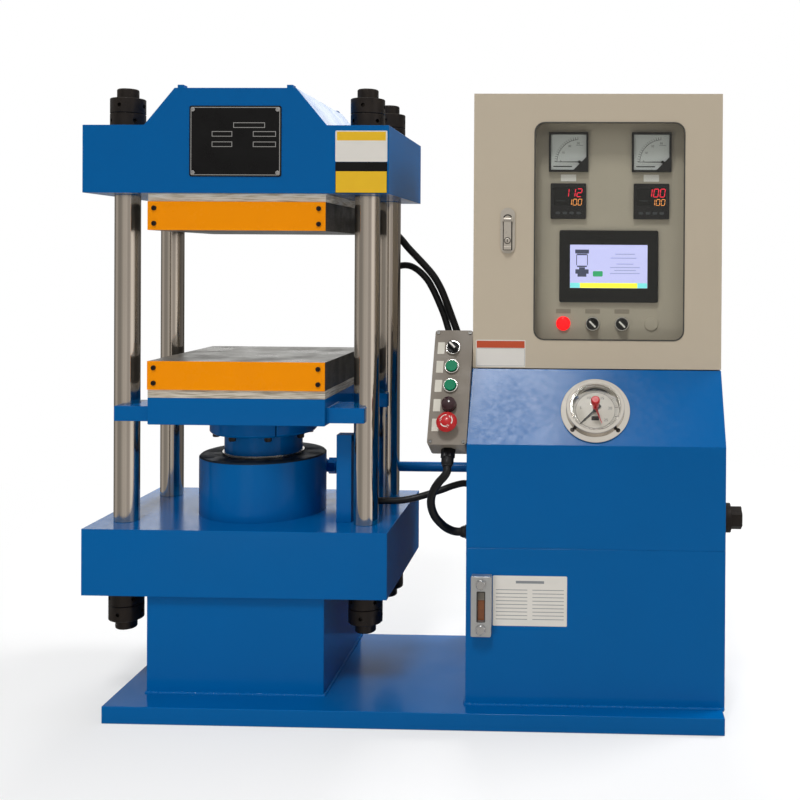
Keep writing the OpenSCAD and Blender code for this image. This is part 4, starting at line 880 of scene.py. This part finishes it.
def hex_head(flats, height):
    """A bolt's head on its washer, with the top corners chamfered off."""
    bm = bmesh.new()
    r = flats / 2
    draw_turned(
        bm,
        [(r * 1.25, 0), (r * 1.25, 1.5), (r, 1.5, "hex"), (r, height * 0.85, "hex"), (r * 0.94, height)],
        sides=36,
    )
    return bm


COVER_SCREW_X, COVER_SCREW_Z, COVER_FRONT = 162, 15, -178
screw_x = (-COVER_SCREW_X, COVER_SCREW_X)
for name, body, middle in (("upper", "machine", 968), ("lower", "ram", 656)):
    places = [on_face(x, COVER_FRONT, middle + dz) for x in screw_x for dz in (-COVER_SCREW_Z, COVER_SCREW_Z)]
    repeat(name + "_cover_screws", socket_head(9.5, 3), places, black_oxide, body, "black_steel")

RING_BOLT_RADIUS, RING_FOOT = 96, 522
downward = Matrix.Rotation(math.pi, 4, "X")
ring_places = []
for i in range(8):
    a = math.radians(22.5 + 45 * i)
    foot = Vector((RING_BOLT_RADIUS * math.cos(a), RING_BOLT_RADIUS * math.sin(a), RING_FOOT))
    ring_places.append(Matrix.Translation(foot * MM) @ downward)
repeat("clamp_ring_bolts", hex_head(13, 9), ring_places, black_oxide, "ram", "black_steel")

# %% [markdown]
# ## Plates and cards
# A black anodised plate is screwed to the beam, and printed film is stuck on where the operator
# looks. Here they stay blank: only their colours, borders and empty boxes are drawn. Each layer of
# print stands a tenth of a millimetre proud, so that no two faces lie in one plane.

# %% Plates and cards
BEAM_FRONT, TANK_FRONT, DOOR_FRONT = -187, -201, -112
beam_plate = on_face(1, BEAM_FRONT, 1112.5)
bm = bmesh.new()
draw(bm, round_rect(180, 137, 4), 0, 1.2)
draw_band(bm, round_rect(175, 132, 3), round_rect(172, 129, 2), 1.2, 1.35, 1)
for width, x, y in ((62, 27, 31), (40, -26, 14), (45, 57, 14), (40, -26, -6), (45, 57, -6)):
    draw_band(bm, box_outline(width, 10.4, x, y), box_outline(width - 2.6, 7.8, x, y), 1.2, 1.35, 1)
settle("beam_plate", bm, beam_plate, "machine", "black_steel", dark_print_and_shade, zinc_plate)
corners = [shifted(beam_plate, x, y, 1.2) for x in (-83, 83) for y in (-61, 61)]
repeat("beam_plate_screws", socket_head(8, 2.2), corners, zinc_plate, "machine", "steel")

bm = bmesh.new()
draw(bm, round_rect(101, 60, 2, y=30.5), 0, 0.3, 0)
draw(bm, box_outline(95, 17, y=50), 0.3, 0.4, 1)
draw(bm, round_rect(101, 60, 2, y=-30), 0, 0.3, 2)
draw(bm, box_outline(99, 41, y=-38.5), 0.3, 0.4, 1)
settle("beam_films", bm, on_face(246.5, BEAM_FRONT, 1073), "machine", "grey_plastic",
       white_card, yellow_print, dark_print_and_shade)

bm = bmesh.new()
draw(bm, round_rect(99, 54, 2), 0, 0.3, 0)
draw(bm, box_outline(96, 14, y=18), 0.3, 0.4, 1)
draw_band(bm, box_outline(96, 35, y=-7.5), box_outline(95, 34, y=-7.5), 0.3, 0.4, 2)
settle("door_film", bm, on_face(511.5, DOOR_FRONT, 699), "door", "grey_plastic",
       white_card, rust_print, grey_print)

bm = bmesh.new()
draw(bm, round_rect(142, 96, 2), 0, 0.4, 0)
draw(bm, box_outline(54, 5, y=36), 0.4, 0.5, 1)
for column in (-35, 35):
    for row in range(9):
        draw(bm, box_outline(60, 1.2, column, 21 - 7 * row), 0.4, 0.5, 1)
settle("tank_card", bm, on_face(578, TANK_FRONT, 234), "machine", "grey_plastic", white_card, grey_print)
print("one plate, three films and a card, all blank")

# %% [markdown]
# ## Oil level gauge
# Two hollow bolts hold a small alloy body against the tank, and the oil stands in its window at the
# level that it has inside. A glass front over amber oil, with air above, tells the story.

# %% Oil level gauge
LEVEL_PLACE = on_face(486, TANK_FRONT, 227)
bm = bmesh.new()
draw(bm, round_rect(13.4, 55.4, 1), 6, 10, 0)
draw(bm, box_outline(13.2, 38, y=-8.5), 10, 10.6, 1)
draw_band(bm, round_rect(16.5, 58.5, 2), round_rect(13.6, 55.6, 1), 17.9, 18.6, 2)
settle("oil_window", bm, LEVEL_PLACE, "machine", "clear", grey_casting, amber_oil, rubber_seal)
bolts = [shifted(LEVEL_PLACE, y=y, z=18) for y in (-43, 43)]
repeat("level_gauge_bolts", hex_head(17, 6.5), bolts, zinc_plate, "machine", "steel")

# %% [markdown]
# ## Pressure gauge
# A contact gauge has two hands: the black one shows the pressure and the red one is set by the knob
# on the dome. The scale runs three quarters round the dial. Its marks are two drawn bars, repeated by
# the tree: every fifth mark is longer, and every tenth carries a plain number.


# %% Pressure gauge
def spun(place, degrees, radius, height):
    """A place on a dial, at an angle and a radius from its middle."""
    return shifted(place @ Matrix.Rotation(math.radians(degrees), 4, "Z"), x=radius, z=height)


def top_of(node, place):
    """How far a CAD node reaches along a face's Z, in mm."""
    back = place.inverted()
    return max((back @ v.co).z for v in frame["nodes"][node].data.vertices) / MM


gauge_place = on_face(*GAUGE_MIDDLE, GAUGE_TILT)
SCALE_FROM, SCALE_SWEEP, DIAL_FLOOR = 225, 270, 3.0
bm = bmesh.new()
draw(bm, disc(46.4), DIAL_FLOOR, DIAL_FLOOR + 0.4, 0)
draw_band(bm, disc(38.6), disc(37.9), DIAL_FLOOR + 0.4, DIAL_FLOOR + 0.5, 1)
draw(bm, round_rect(15, 9, 1, y=-17), DIAL_FLOOR + 0.4, DIAL_FLOOR + 0.5, 1)
for i in range(6):
    a = math.radians(SCALE_FROM - SCALE_SWEEP * i / 5)
    draw_number(bm, str(5 * i), 8, 29 * math.cos(a), 29 * math.sin(a), DIAL_FLOOR + 0.5, 1)
settle("pressure_dial", bm, gauge_place, "machine", "chrome", cream_dial, dark_print_and_shade)

fine, coarse = bmesh.new(), bmesh.new()
draw(fine, box_outline(4, 0.6), 0, 0.12)
draw(coarse, box_outline(7, 1.2), 0, 0.15)
steps = [(SCALE_FROM - SCALE_SWEEP * i / 50, i % 5 == 0) for i in range(51)]
for name, bar, wanted in (("fine", fine, False), ("coarse", coarse, True)):
    marks = [spun(gauge_place, a, 41.5, DIAL_FLOOR + 0.4) for a, main in steps if main == wanted]
    repeat("pressure_marks_" + name, bar, marks, dark_print_and_shade, "machine", "chrome")

bm = bmesh.new()
draw(bm, disc(6, sides=24), 18.6, 20.2, 0)
draw(bm, [(0, -2.4), (36, -0.6), (38, 0), (36, 0.6), (0, 2.4)], 18.8, 19.8, 0)
set_place = gauge_place @ Matrix.Rotation(math.radians(-70), 4, "Z")
settle("set_hand", bm, set_place, "gauge_knob", "red_plastic", red_plastic)
flange_screws = [shifted(gauge_place, x, -42, 4) for x in (-44, 44)]
repeat("gauge_flange_screws", socket_head(8.5, 1.4), flange_screws, black_oxide, "machine", "black_steel")

# %% [markdown]
# ## Panel meters
# A square panel ammeter swings its needle over a quarter circle from its lower right corner, so its
# scale fills the rest of the face. A clear front closes the case. The corner that hides the movement
# stays black.

# %% Panel meters
PANEL_FRONT, METER_X, METER_Z, PIVOT = -67, (644, 812), 1105, (22, -20)
for side, x in zip(("left", "right"), METER_X):
    face = on_face(x, PANEL_FRONT, METER_Z)
    hub = shifted(face, *PIVOT)
    bm = bmesh.new()
    draw(bm, box_outline(71.4, 71.4), 3, 3.3, 0)
    arc = [math.radians(94 + 4 * i) for i in range(22)]
    rim = [(PIVOT[0] + 46 * math.cos(a), PIVOT[1] + 46 * math.sin(a)) for a in arc]
    rim += [(PIVOT[0] + 45.2 * math.cos(a), PIVOT[1] + 45.2 * math.sin(a)) for a in reversed(arc)]
    draw(bm, rim, 3.3, 3.4, 1)
    for i in range(4):
        a = math.radians(178 - 28 * i)
        draw_number(bm, str(10 * i), 6, PIVOT[0] + 38 * math.cos(a), PIVOT[1] + 38 * math.sin(a), 3.45, 1)
    draw(bm, box_outline(38, 2.2, -12, -29), 3.3, 3.4, 1)
    draw(bm, box_outline(14, 1.2, 22, 14), 3.3, 3.4, 2)
    settle("meter_dial_" + side, bm, face, "machine", "black_plastic", meter_card, dark_print_and_shade, grey_print)
    bar = bmesh.new()
    draw(bar, box_outline(5, 0.8), 0, 0.12)
    marks = [spun(hub, 178 - 5.6 * i, 48.5, 3.3) for i in range(16)]
    repeat("meter_marks_" + side, bar, marks, dark_print_and_shade, "machine", "black_plastic")
    bm = bmesh.new()
    draw(bm, [(-35.8, -35.8), (1, -35.8), (35.8, -1), (35.8, 35.8), (-35.8, 35.8)], 8.6, 9.4)
    settle("meter_front_" + side, bm, face, "machine", "clear", clear_pane)
    bm = bmesh.new()
    draw(bm, round_rect(31, 14, 0.8), 0, 0.4, 0)
    settle("meter_label_" + side, bm, on_face(x, PANEL_FRONT, 1053), "machine", "grey_plastic", white_card)

# %% [markdown]
# ## Temperature controllers
# Each heated plate has its controller. The upper row glows red with the temperature that the plate
# has, the lower row amber with the one it should have. Seven straight bars make every figure, so a
# digit is a choice of bars.

# %% Temperature controllers
BARS = {
    "top": (0, 1, 0), "upper_left": (-1, 0.5, 1), "upper_right": (1, 0.5, 1), "middle": (0, 0, 0),
    "lower_left": (-1, -0.5, 1), "lower_right": (1, -0.5, 1), "foot": (0, -1, 0),
}
LIT = {
    "0": set(BARS) - {"middle"},
    "1": {"upper_right", "lower_right"},
    "2": set(BARS) - {"upper_left", "lower_right"},
}


def draw_digits(bm, text, right, middle, width, height, low, finish):
    """A row of seven-bar figures that ends at right."""
    thick, pitch, slant = height * 0.09, width * 1.45, 0.12
    for place, figure in enumerate(reversed(text)):
        x = right - width / 2 - place * pitch
        for bar in sorted(LIT[figure]):
            sx, sy, upright = BARS[bar]
            size = (thick, height / 2 - thick) if upright else (width - thick, thick)
            outline = box_outline(*size, x + sx * width / 2, sy * height / 2)
            draw(bm, [(u + slant * v, middle + v) for u, v in outline], low, low + 0.15, finish)


CONTROLLER_Z, WINDOW_FLOOR = 1005.5, 7.4
for side, x, reading in zip(("left", "right"), METER_X, ("112", "100")):
    bm = bmesh.new()
    draw(bm, round_rect(59.6, 35.6, 1, y=9), WINDOW_FLOOR, WINDOW_FLOOR + 0.2, 0)
    draw_digits(bm, reading, 27, 17, 9, 16, WINDOW_FLOOR + 0.2, 1)
    draw_digits(bm, "100", 27, -2, 7, 12, WINDOW_FLOOR + 0.2, 2)
    for i in range(4):
        draw(bm, round_rect(9, 5, 2, -21 + 14 * i, -24), 8, 8.5, 3)
        draw(bm, disc(1.1, -21 + 4 * i, 1, sides=12), WINDOW_FLOOR + 0.2, WINDOW_FLOOR + 0.3, 3)
    settle("controller_face_" + side, bm, on_face(x, PANEL_FRONT, CONTROLLER_Z), "machine", "black_plastic",
           display_black, digit_red, digit_amber, key_grey)

# %% [markdown]
# ## Touch screen
# The screen shows a plain page: a little drawing of the press, a green field, grey lines for its
# settings and a bar of keys along the foot. It is drawn in flat fields that glow.

# %% Touch screen
SCREEN = on_face(726.5, PANEL_FRONT, 873.5)
SCREEN_FLOOR, FIELD = 7.2, 7.45
bm = bmesh.new()
draw(bm, box_outline(156.6, 87.6), SCREEN_FLOOR, FIELD, 0)
for width, x, finish in ((116, 0, 1), (19.5, -68, 2), (19.5, 68, 2)):
    draw(bm, box_outline(width, 10, x, -38.5), FIELD, FIELD + 0.1, finish)
for width, height, x, y in (
    (28, 8, -54, 30), (20, 3, -54, 24), (1.6, 22, -65, 13), (1.6, 22, -43, 13),
    (20, 3, -54, 0), (12, 4, -54, -4), (27, 9, -54, -10.5), (18, 6, -54, -18),
):
    draw(bm, box_outline(width, height, x, y), FIELD, FIELD + 0.1, 3)
draw(bm, round_rect(20, 11, 2, -22, -15), FIELD, FIELD + 0.1, 4)
for width, x, y in ((40, 33, 25), (52, 30, 17), (34, 33, 5), (60, 33, -2), (44, 33, -8), (60, 33, -14)):
    draw(bm, box_outline(width, 1.4, x, y), FIELD, FIELD + 0.1, 5)
settle("screen_page", bm, SCREEN, "machine", "black_plastic",
       screen_lilac, screen_yellow, screen_cyan, screen_slate, screen_green, screen_grey)

# %% [markdown]
# ## Panel row and window seal
# Under the screen stand a lamp, two selectors and a spare hole with a blanking plug. Each selector
# carries a white line, so that its setting can be read. The pane sits in a grey rubber profile that
# is pushed over the edge of the cut-out, and its dark grey also stands in for the shade along that
# edge: it is partly painted shade.

# %% Panel row and window seal
ROW_Z = 757
bm = bmesh.new()
draw_turned(bm, [(14, 0), (14, 1.6), (13.2, 2.4), (12, 2.6)], sides=40)
settle("blank_plug", bm, on_face(813.5, PANEL_FRONT, ROW_Z), "machine", "box_paint", panel_powder)
for name, x in (("lamp", 635), ("left", 694.5), ("right", 754)):
    bm = bmesh.new()
    draw(bm, round_rect(30, 9, 1), 0, 0.3)
    settle("row_label_" + name, bm, on_face(x, PANEL_FRONT, ROW_Z + 25), "machine", "grey_plastic", row_film)


def pointer_line(node, place):
    """The white line on a selector's grip, which turns with it."""
    bm = bmesh.new()
    top = top_of(node, place)
    draw(bm, round_rect(3.4, 17, 1.2), top, top + 0.3)
    turned = place @ Matrix.Rotation(math.radians(45), 4, "Z")
    settle(node + "_line", bm, turned, node, "grey_plastic", white_card)


pointer_line("panel_selector_left", on_face(694.5, PANEL_FRONT, ROW_Z))
pointer_line("panel_selector_right", on_face(754, PANEL_FRONT, ROW_Z))

WINDOW_PLACE = on_face(726.5, DOOR_FRONT, 943.5)
bm = bmesh.new()
# Partly painted shade: the band's dark grey stands in for the shade along the cut-out's edge
draw_band(bm, round_rect(300, 435, 21), round_rect(294.6, 429.6, 18.3), -1, 1.0)
settle("window_seal", bm, WINDOW_PLACE, "door", "black_plastic", seal_with_painted_shade)

# %% [markdown]
# ## Door lock
# The lever lies in a plated oval and is lifted by its foot. A dark gap shows all round it, and a key
# barrel near the foot locks it down. The gap's shade is painted: a black band on the plate, a tenth of
# a millimetre thick. The barrel is a turned drum, and its slot is painted shade too, a thin black plate
# that moves with the lever.

# %% Door lock
LOCK_PLACE, LOCK_FACE, LEVER_TOP = on_face(524.5, DOOR_FRONT, 944), 4.0, 8.8
GAP_OUT, GAP_IN, GAP_CROWN = 9.4, 7.2, 23
arch = [math.radians(7.5 * i) for i in range(25)]
gap_out = [(-GAP_OUT, -39), (GAP_OUT, -39)]
gap_out += [(GAP_OUT * math.cos(a), GAP_CROWN + GAP_OUT * math.sin(a)) for a in arch]
gap_in = [(-GAP_IN, -38), (GAP_IN, -38)]
gap_in += [(GAP_IN * math.cos(a), GAP_CROWN + GAP_IN * math.sin(a)) for a in arch]
bm = bmesh.new()
# Painted shade: a black band where the gap round the lever lies in shadow
draw_band(bm, gap_out, gap_in, LOCK_FACE, LOCK_FACE + 0.1)
settle("lock_gap", bm, LOCK_PLACE, "door", "steel", dark_print_and_shade)
bm = bmesh.new()
draw_turned(bm, [(6.6, LEVER_TOP - 0.1), (6.6, LEVER_TOP + 0.7), (6.2, LEVER_TOP + 0.9)], sides=32, finish=1)
draw_turned(bm, [(5.3, LEVER_TOP + 0.9), (5.3, LEVER_TOP + 1.3), (4.8, LEVER_TOP + 1.6)], sides=32)
# Painted shade: the key's slot is a thin black plate, not a hole
draw(bm, round_rect(1.5, 6, 0.6), LEVER_TOP + 1.6, LEVER_TOP + 1.7, 1)
barrel_place = shifted(LOCK_PLACE, y=-20)
settle("key_barrel", bm, barrel_place, "lock_handle", "steel", satin_nickel, dark_print_and_shade)
print("lock gap", round(GAP_OUT - GAP_IN, 1), "mm wide")

# %% [markdown]
# ## Pendant
# The cast lid is held by four screws, and an ivory plate beside each control says what it does. On
# this part the plates are bare. The stop button carries three arrows that show which way it turns to
# let go, and they follow the curve of its cap.

# %% Pendant
PENDANT_TILT, CONTROL_ROWS = 27.5, (80, 40, 0, -40, -80)
pendant_place = on_face(416.7, -149.5, 637.5, PENDANT_TILT)
rows = [shifted(pendant_place, y=y) for y in CONTROL_ROWS]
bm = bmesh.new()
draw(bm, round_rect(14, 25, 1), 0, 0.5)
for y in (-6, 0, 6):
    draw(bm, box_outline(8, 0.9, 0, y), 0.5, 0.56)
label_places = [shifted(row, x=-24) for row in rows]
repeat("pendant_labels", bm, label_places, ivory_film, "machine", "grey_plastic")
lid_places = [shifted(pendant_place, x, y) for x in (-32, 32) for y in (-113, 113)]
repeat("pendant_lid_screws", socket_head(7, 1.8), lid_places, dull_steel, "machine", "steel")
pointer_line("pendant_selector", rows[0])

CAP_CURVE, ARROW_IN, ARROW_OUT, ARROW_TIP, BARB = 25.0, 10.6, 12.6, 11.6, 2.2
cap_top = top_of("estop_head", rows[4])


def on_cap(bm, radius, degrees):
    """A vertex just above the stop button's curved cap."""
    a = math.radians(degrees)
    drop = CAP_CURVE - math.sqrt(CAP_CURVE**2 - radius**2)
    return bm.verts.new((radius * math.cos(a), radius * math.sin(a), cap_top - drop + 0.25))


bm = bmesh.new()
for start in (90, 210, 330):
    for i in range(8):
        a, b = start + 9 * i, start + 9 * (i + 1)
        shaft = ((ARROW_IN, a), (ARROW_OUT, a), (ARROW_OUT, b), (ARROW_IN, b))
        bm.faces.new([on_cap(bm, *point) for point in shaft])
    barbs = ((ARROW_IN - BARB, start + 72), (ARROW_OUT + BARB, start + 72), (ARROW_TIP, start + 96))
    bm.faces.new([on_cap(bm, *point) for point in barbs])
settle("stop_arrows", bm, rows[4], "estop_head", "grey_plastic", white_card)

# %% [markdown]
# ## Welds
# The pedestal and the tank are welded to the base. A hand-laid bead is a row of overlapping ripples,
# so a tree drops a small ball every few millimetres along the seam, each a little larger or smaller
# than the last.

# %% Weld beads
weld_tree, given = new_tree("weld_bead", Pitch="Float", Radius="Float", Seed="Int", Finish="Material")
seam = add_node(weld_tree, "GeometryNodeMeshToCurve", {"Mesh": given["Geometry"]})
ripples = add_node(
    weld_tree, "GeometryNodeResampleCurve", {"Curve": seam.outputs[0], "Length": given["Pitch"]},
    mode="LENGTH"
)
ball = add_node(
    weld_tree, "GeometryNodeMeshUVSphere", {"Segments": 10, "Rings": 6, "Radius": given["Radius"]}
)
size = add_node(
    weld_tree, "FunctionNodeRandomValue", {2: 0.82, 3: 1.12, "Seed": given["Seed"]}, data_type="FLOAT"
)
laid = add_node(
    weld_tree,
    "GeometryNodeInstanceOnPoints",
    {"Points": ripples.outputs[0], "Instance": ball.outputs["Mesh"], "Scale": size.outputs[1]},
)
end_tree(weld_tree, laid.outputs[0], given["Finish"])

BEAD_PITCH, BEAD_RADIUS = 0.0035, 0.0045
BASE_TOP, BASE_END, PEDESTAL, TANK = 33, 946, (-175, 175, -175, 155), (455, 946, -201, 165)
for seed, (name, (x0, x1, y0, y1)) in enumerate((("pedestal", PEDESTAL), ("tank", TANK))):
    corner = [(x0, y1), (x0, y0), (x1, y0)] + ([(x1, y1)] if x1 < BASE_END else [])
    seam_line = polyline(name, [Vector((x, y, BASE_TOP)) * MM for x, y in corner])
    mesh = grow(
        name + "_weld", seam_line, weld_tree,
        Pitch=BEAD_PITCH, Radius=BEAD_RADIUS, Seed=seed, Finish=blue_enamel
    )
    mesh.shade_smooth()
    print(name, "weld:", len(mesh.polygons), "faces")
    show(name + "_weld", mesh, "machine", "press_paint")

# %% [markdown]
# ## Back cover
# The photograph shows nothing of the back, so it has only what such cabinets have there: a screwed
# cover with louvres. A louvre is a slit whose upper lip is pressed out into a hood. One hood is drawn
# as a strip that swells between its ends, and the tree sets it over every slot of the CAD cover.

# %% Back louvres and cover screws
LOUVRE_W, LOUVRE_COUNT, LOUVRE_PITCH, HOOD_OUT, HOOD_H = 150, 8, 14.4, 6.0, 10.0
cover_low, cover_high = (Vector(corner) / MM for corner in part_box("rear_cover"))
COVER_BACK, COVER_MIDDLE, COVER_SPAN = cover_high.y, (cover_low + cover_high) / 2, cover_high - cover_low


def on_back(x, z):
    """The frame of the cover's back face at a point in mm."""
    place = Matrix.Translation(Vector((x, COVER_BACK, z)) * MM)
    return place @ Matrix.Rotation(math.pi, 4, "Z") @ Matrix.Rotation(math.pi / 2, 4, "X")


bm = bmesh.new()
stations = [-1 + 2 * i / 12 for i in range(13)]
shell = []
for s in stations:
    bulge = (1 - s**6) * HOOD_OUT
    arc = [math.radians(90 * i / 6) for i in range(7)]
    shell.append(
        [bm.verts.new((s * LOUVRE_W / 2, HOOD_H * math.cos(a), bulge * math.sin(a) + 0.1)) for a in arc]
    )
for left, right in zip(shell, shell[1:]):
    for i in range(6):
        bm.faces.new((left[i], left[i + 1], right[i + 1], right[i]))
hoods = []
for side in (-1, 1):
    for i in range(LOUVRE_COUNT):
        x = COVER_MIDDLE.x + side * COVER_SPAN.x / 4
        z = COVER_MIDDLE.z + (i - LOUVRE_COUNT / 2) * LOUVRE_PITCH - 1
        hoods.append(on_back(x, z))
repeat("back_louvres", bm, hoods, blue_enamel, "machine", "press_paint")
SCREW_INSET = 7
cover_places = []
for sx in (-1, 1):
    for sz in (-1, 0, 1):
        x = COVER_MIDDLE.x + sx * (COVER_SPAN.x / 2 - SCREW_INSET)
        z = COVER_MIDDLE.z + sz * (COVER_SPAN.z / 2 - SCREW_INSET)
        cover_places.append(on_back(x, z))
repeat("back_cover_screws", socket_head(10, 3), cover_places, zinc_plate, "machine", "steel")

# %% [markdown]
# ## Floor
# The picture is a cut-out on white. A pale floor keeps the soft shadow that holds the machine down,
# and fades to white before its edge can be seen. Only the camera sees it that pale: the light that it
# throws back on the press is darker and a little warm, as from a workshop floor.

# %% Floor
FLOOR_REACH, FLOOR_Z, FADE_FROM, FADE_TO = 9.0, -0.0005, 0.9, 2.6
press_middle = Vector((0.36, -0.05, 0.0))
floor_mesh = bpy.data.meshes.new("pale_floor")
edge_x, edge_y = ([middle - FLOOR_REACH, middle + FLOOR_REACH] for middle in press_middle.xy)
floor_mesh.from_pydata(
    [(edge_x[i], edge_y[j], FLOOR_Z) for i, j in ((0, 0), (1, 0), (1, 1), (0, 1))], [], [(0, 1, 2, 3)]
)
pale = bpy.data.materials.new("pale_studio_floor")
pale.use_nodes = True
tree = pale.node_tree
tree.nodes.clear()
place = add_node(tree, "ShaderNodeTexCoord").outputs["Object"]
reach = add_node(tree, "ShaderNodeVectorMath", {0: place, 1: press_middle}, operation="DISTANCE")
fade = add_node(
    tree,
    "ShaderNodeMapRange",
    {"Value": reach.outputs["Value"], "From Min": FADE_FROM, "From Max": FADE_TO, "To Min": 0.5},
)
path = add_node(tree, "ShaderNodeLightPath")
white_share = add_node(
    tree, "ShaderNodeMath", {0: fade.outputs[0], 1: path.outputs["Is Camera Ray"]}, operation="MULTIPLY"
)
pale_or_dark = add_node(
    tree,
    "ShaderNodeMix",
    {"Factor": path.outputs["Is Camera Ray"], 6: linear("#BDBAB4"), 7: linear("#F2F2F2")},
    data_type="RGBA",
)
matt = add_node(tree, "ShaderNodeBsdfDiffuse", {"Color": pale_or_dark.outputs[2]})
white = add_node(tree, "ShaderNodeEmission", {"Color": linear("#FFFFFF"), "Strength": 1.0})
both = add_node(
    tree, "ShaderNodeMixShader", {0: white_share.outputs[0], 1: matt.outputs[0], 2: white.outputs[0]}
)
add_node(tree, "ShaderNodeOutputMaterial", {"Surface": both.outputs[0]})
floor_mesh.materials.append(pale)
floor = bpy.data.objects.new("pale_floor", floor_mesh)
bpy.context.scene.collection.objects.link(floor)
floor.visible_glossy = False
print("floor", 2 * FLOOR_REACH, "m wide")


# %% [markdown]
# ## Light
# One soft box high in front is the main light. Three more light the foot, the right and the back, and
# mirror rays don't see them. A room gives the rest. Mirror rays see it with brighter and darker walls
# and a window behind the press, which draws the upright bands that make chrome look like chrome and
# the pale sheen on faces that are seen at a glancing angle.


# %% Light
def fill_ramp(node, stops):
    """Gives a colour ramp its stops, from left to right."""
    elements = node.color_ramp.elements
    while len(elements) < len(stops):
        elements.new(0.5)
    for element, (at, tone) in zip(elements, stops):
        element.position, element.color = at, linear(tone)


WALL_LIGHT, FRONT_LIGHT, BACK_WINDOW, FRONT_AND_UP = 0.11, 0.6, 2.4, (0.0, -0.72, 0.69)
world = bpy.data.worlds.new("soft_room")
world.use_nodes = True
bpy.context.scene.world = world
tree = world.node_tree
tree.nodes.clear()
view = add_node(tree, "ShaderNodeTexCoord").outputs["Generated"]
look = add_node(tree, "ShaderNodeSeparateXYZ", {0: view})
compass = add_node(tree, "ShaderNodeMath", {0: look.outputs["X"], 1: look.outputs["Y"]}, operation="ARCTAN2")
share = add_node(
    tree, "ShaderNodeMapRange", {"Value": compass.outputs[0], "From Min": -math.pi, "From Max": math.pi}
)
walls = add_node(tree, "ShaderNodeValToRGB", {"Fac": share.outputs[0]})
wall_tones = [
    (0.0, "#BEB9B3"), (0.03, "#C1BCB6"), (0.06, "#ACA8A2"), (0.1, "#928E89"), (0.17, "#928E89"),
    (0.22, "#BAB5AF"), (0.26, "#B2ADA8"), (0.31, "#787571"), (0.37, "#5B5956"), (0.42, "#E8E8E6"),
    (0.49, "#F4F4F2"), (0.514, "#7A7772"), (0.545, "#7A7772"), (0.565, "#6C6A67"), (0.61, "#7C7976"),
    (0.66, "#686562"), (0.735, "#686562"), (0.777, "#D9D3CD"), (0.8, "#F5EFE8"), (0.845, "#F3EDE6"),
    (0.875, "#B2ADA8"), (0.92, "#A9A49F"), (0.96, "#C6C1BB"), (1.0, "#BEB9B3"),
]
fill_ramp(walls, wall_tones)
height = add_node(tree, "ShaderNodeMapRange", {"Value": look.outputs["Z"], "From Min": 0.1, "From Max": 0.6})
room = add_node(
    tree, "ShaderNodeMix", {"Factor": height.outputs[0], 6: walls.outputs["Color"], 7: linear("#E0DEDA")},
    data_type="RGBA"
)
behind = add_node(tree, "ShaderNodeMapRange", {"Value": look.outputs["Y"], "From Min": 0.7, "From Max": 0.85})
rise = add_node(tree, "ShaderNodeMapRange", {"Value": look.outputs["Z"], "From Min": -0.4, "From Max": 0.6})
window = add_node(tree, "ShaderNodeValToRGB", {"Fac": rise.outputs[0]})
window_tones = [
    (0.2, "#606060"), (0.37, "#6E6E6E"), (0.43, "#9F9F9F"), (0.51, "#9F9F9F"), (0.56, "#8C8C8C"),
    (0.59, "#D0D0D0"), (0.635, "#FFFFFF"), (0.7, "#FFFFFF"), (0.75, "#848484"),
]
fill_ramp(window, window_tones)
bright = add_node(tree, "ShaderNodeMath", {0: window.outputs["Color"], 1: BACK_WINDOW}, operation="MULTIPLY")
mirrored = add_node(
    tree, "ShaderNodeMix", {"Factor": behind.outputs[0], 2: 1.0, 3: bright.outputs[0]}, data_type="FLOAT"
)
path = add_node(tree, "ShaderNodeLightPath")
mirror = add_node(tree, "ShaderNodeBackground", {"Color": room.outputs[2], "Strength": mirrored.outputs[0]})
toward = add_node(tree, "ShaderNodeVectorMath", {0: view, 1: FRONT_AND_UP}, operation="DOT_PRODUCT")
sky = add_node(
    tree,
    "ShaderNodeMapRange",
    {
        "Value": toward.outputs["Value"], "From Min": 0.0, "From Max": 1.0,
        "To Min": WALL_LIGHT, "To Max": FRONT_LIGHT
    },
)
soft = add_node(tree, "ShaderNodeBackground", {"Color": linear("#FFFFFF"), "Strength": sky.outputs[0]})
white = add_node(tree, "ShaderNodeBackground", {"Color": linear("#FFFFFF"), "Strength": 1.0})
lit = add_node(
    tree, "ShaderNodeMixShader",
    {0: path.outputs["Is Glossy Ray"], 1: soft.outputs[0], 2: mirror.outputs[0]}
)
plainly = add_node(
    tree, "ShaderNodeMath", {0: path.outputs["Is Camera Ray"], 1: path.outputs["Is Transmission Ray"]},
    operation="MAXIMUM"
)
seen = add_node(tree, "ShaderNodeMixShader", {0: plainly.outputs[0], 1: lit.outputs[0], 2: white.outputs[0]})
add_node(tree, "ShaderNodeOutputWorld", {"Surface": seen.outputs[0]})


def soft_box(name, place, aim, width, depth, power):
    """A studio light in metres and watts."""
    data = bpy.data.lights.new(name, "AREA")
    data.shape = "RECTANGLE"
    data.size, data.size_y, data.energy = width, depth, power
    lamp = bpy.data.objects.new(name, data)
    lamp.location = place
    lamp.rotation_euler = (Vector(aim) - Vector(place)).to_track_quat("-Z", "Y").to_euler()
    bpy.context.scene.collection.objects.link(lamp)
    return lamp


soft_box("key_box", (-0.12, -4.35, 7.4), (0.55, -0.15, 0.59), 1.25, 1.6, 235)
for lamp in (
    soft_box("low_fill", (-0.3, -1.5, 0.12), (0.0, -0.2, 0.35), 0.6, 0.4, 4),
    soft_box("right_fill", (3.2, 0.8, 4.2), (0.3, 0.0, 1.0), 1.6, 1.6, 130),
    soft_box("back_fill", (0.2, 4.2, 4.0), (0.35, 0.1, 0.5), 2.0, 2.0, 130),
):
    lamp.visible_glossy = False
bpy.context.scene.view_settings.view_transform = "Standard"
print(len(bpy.data.lights), "lamps and a room")
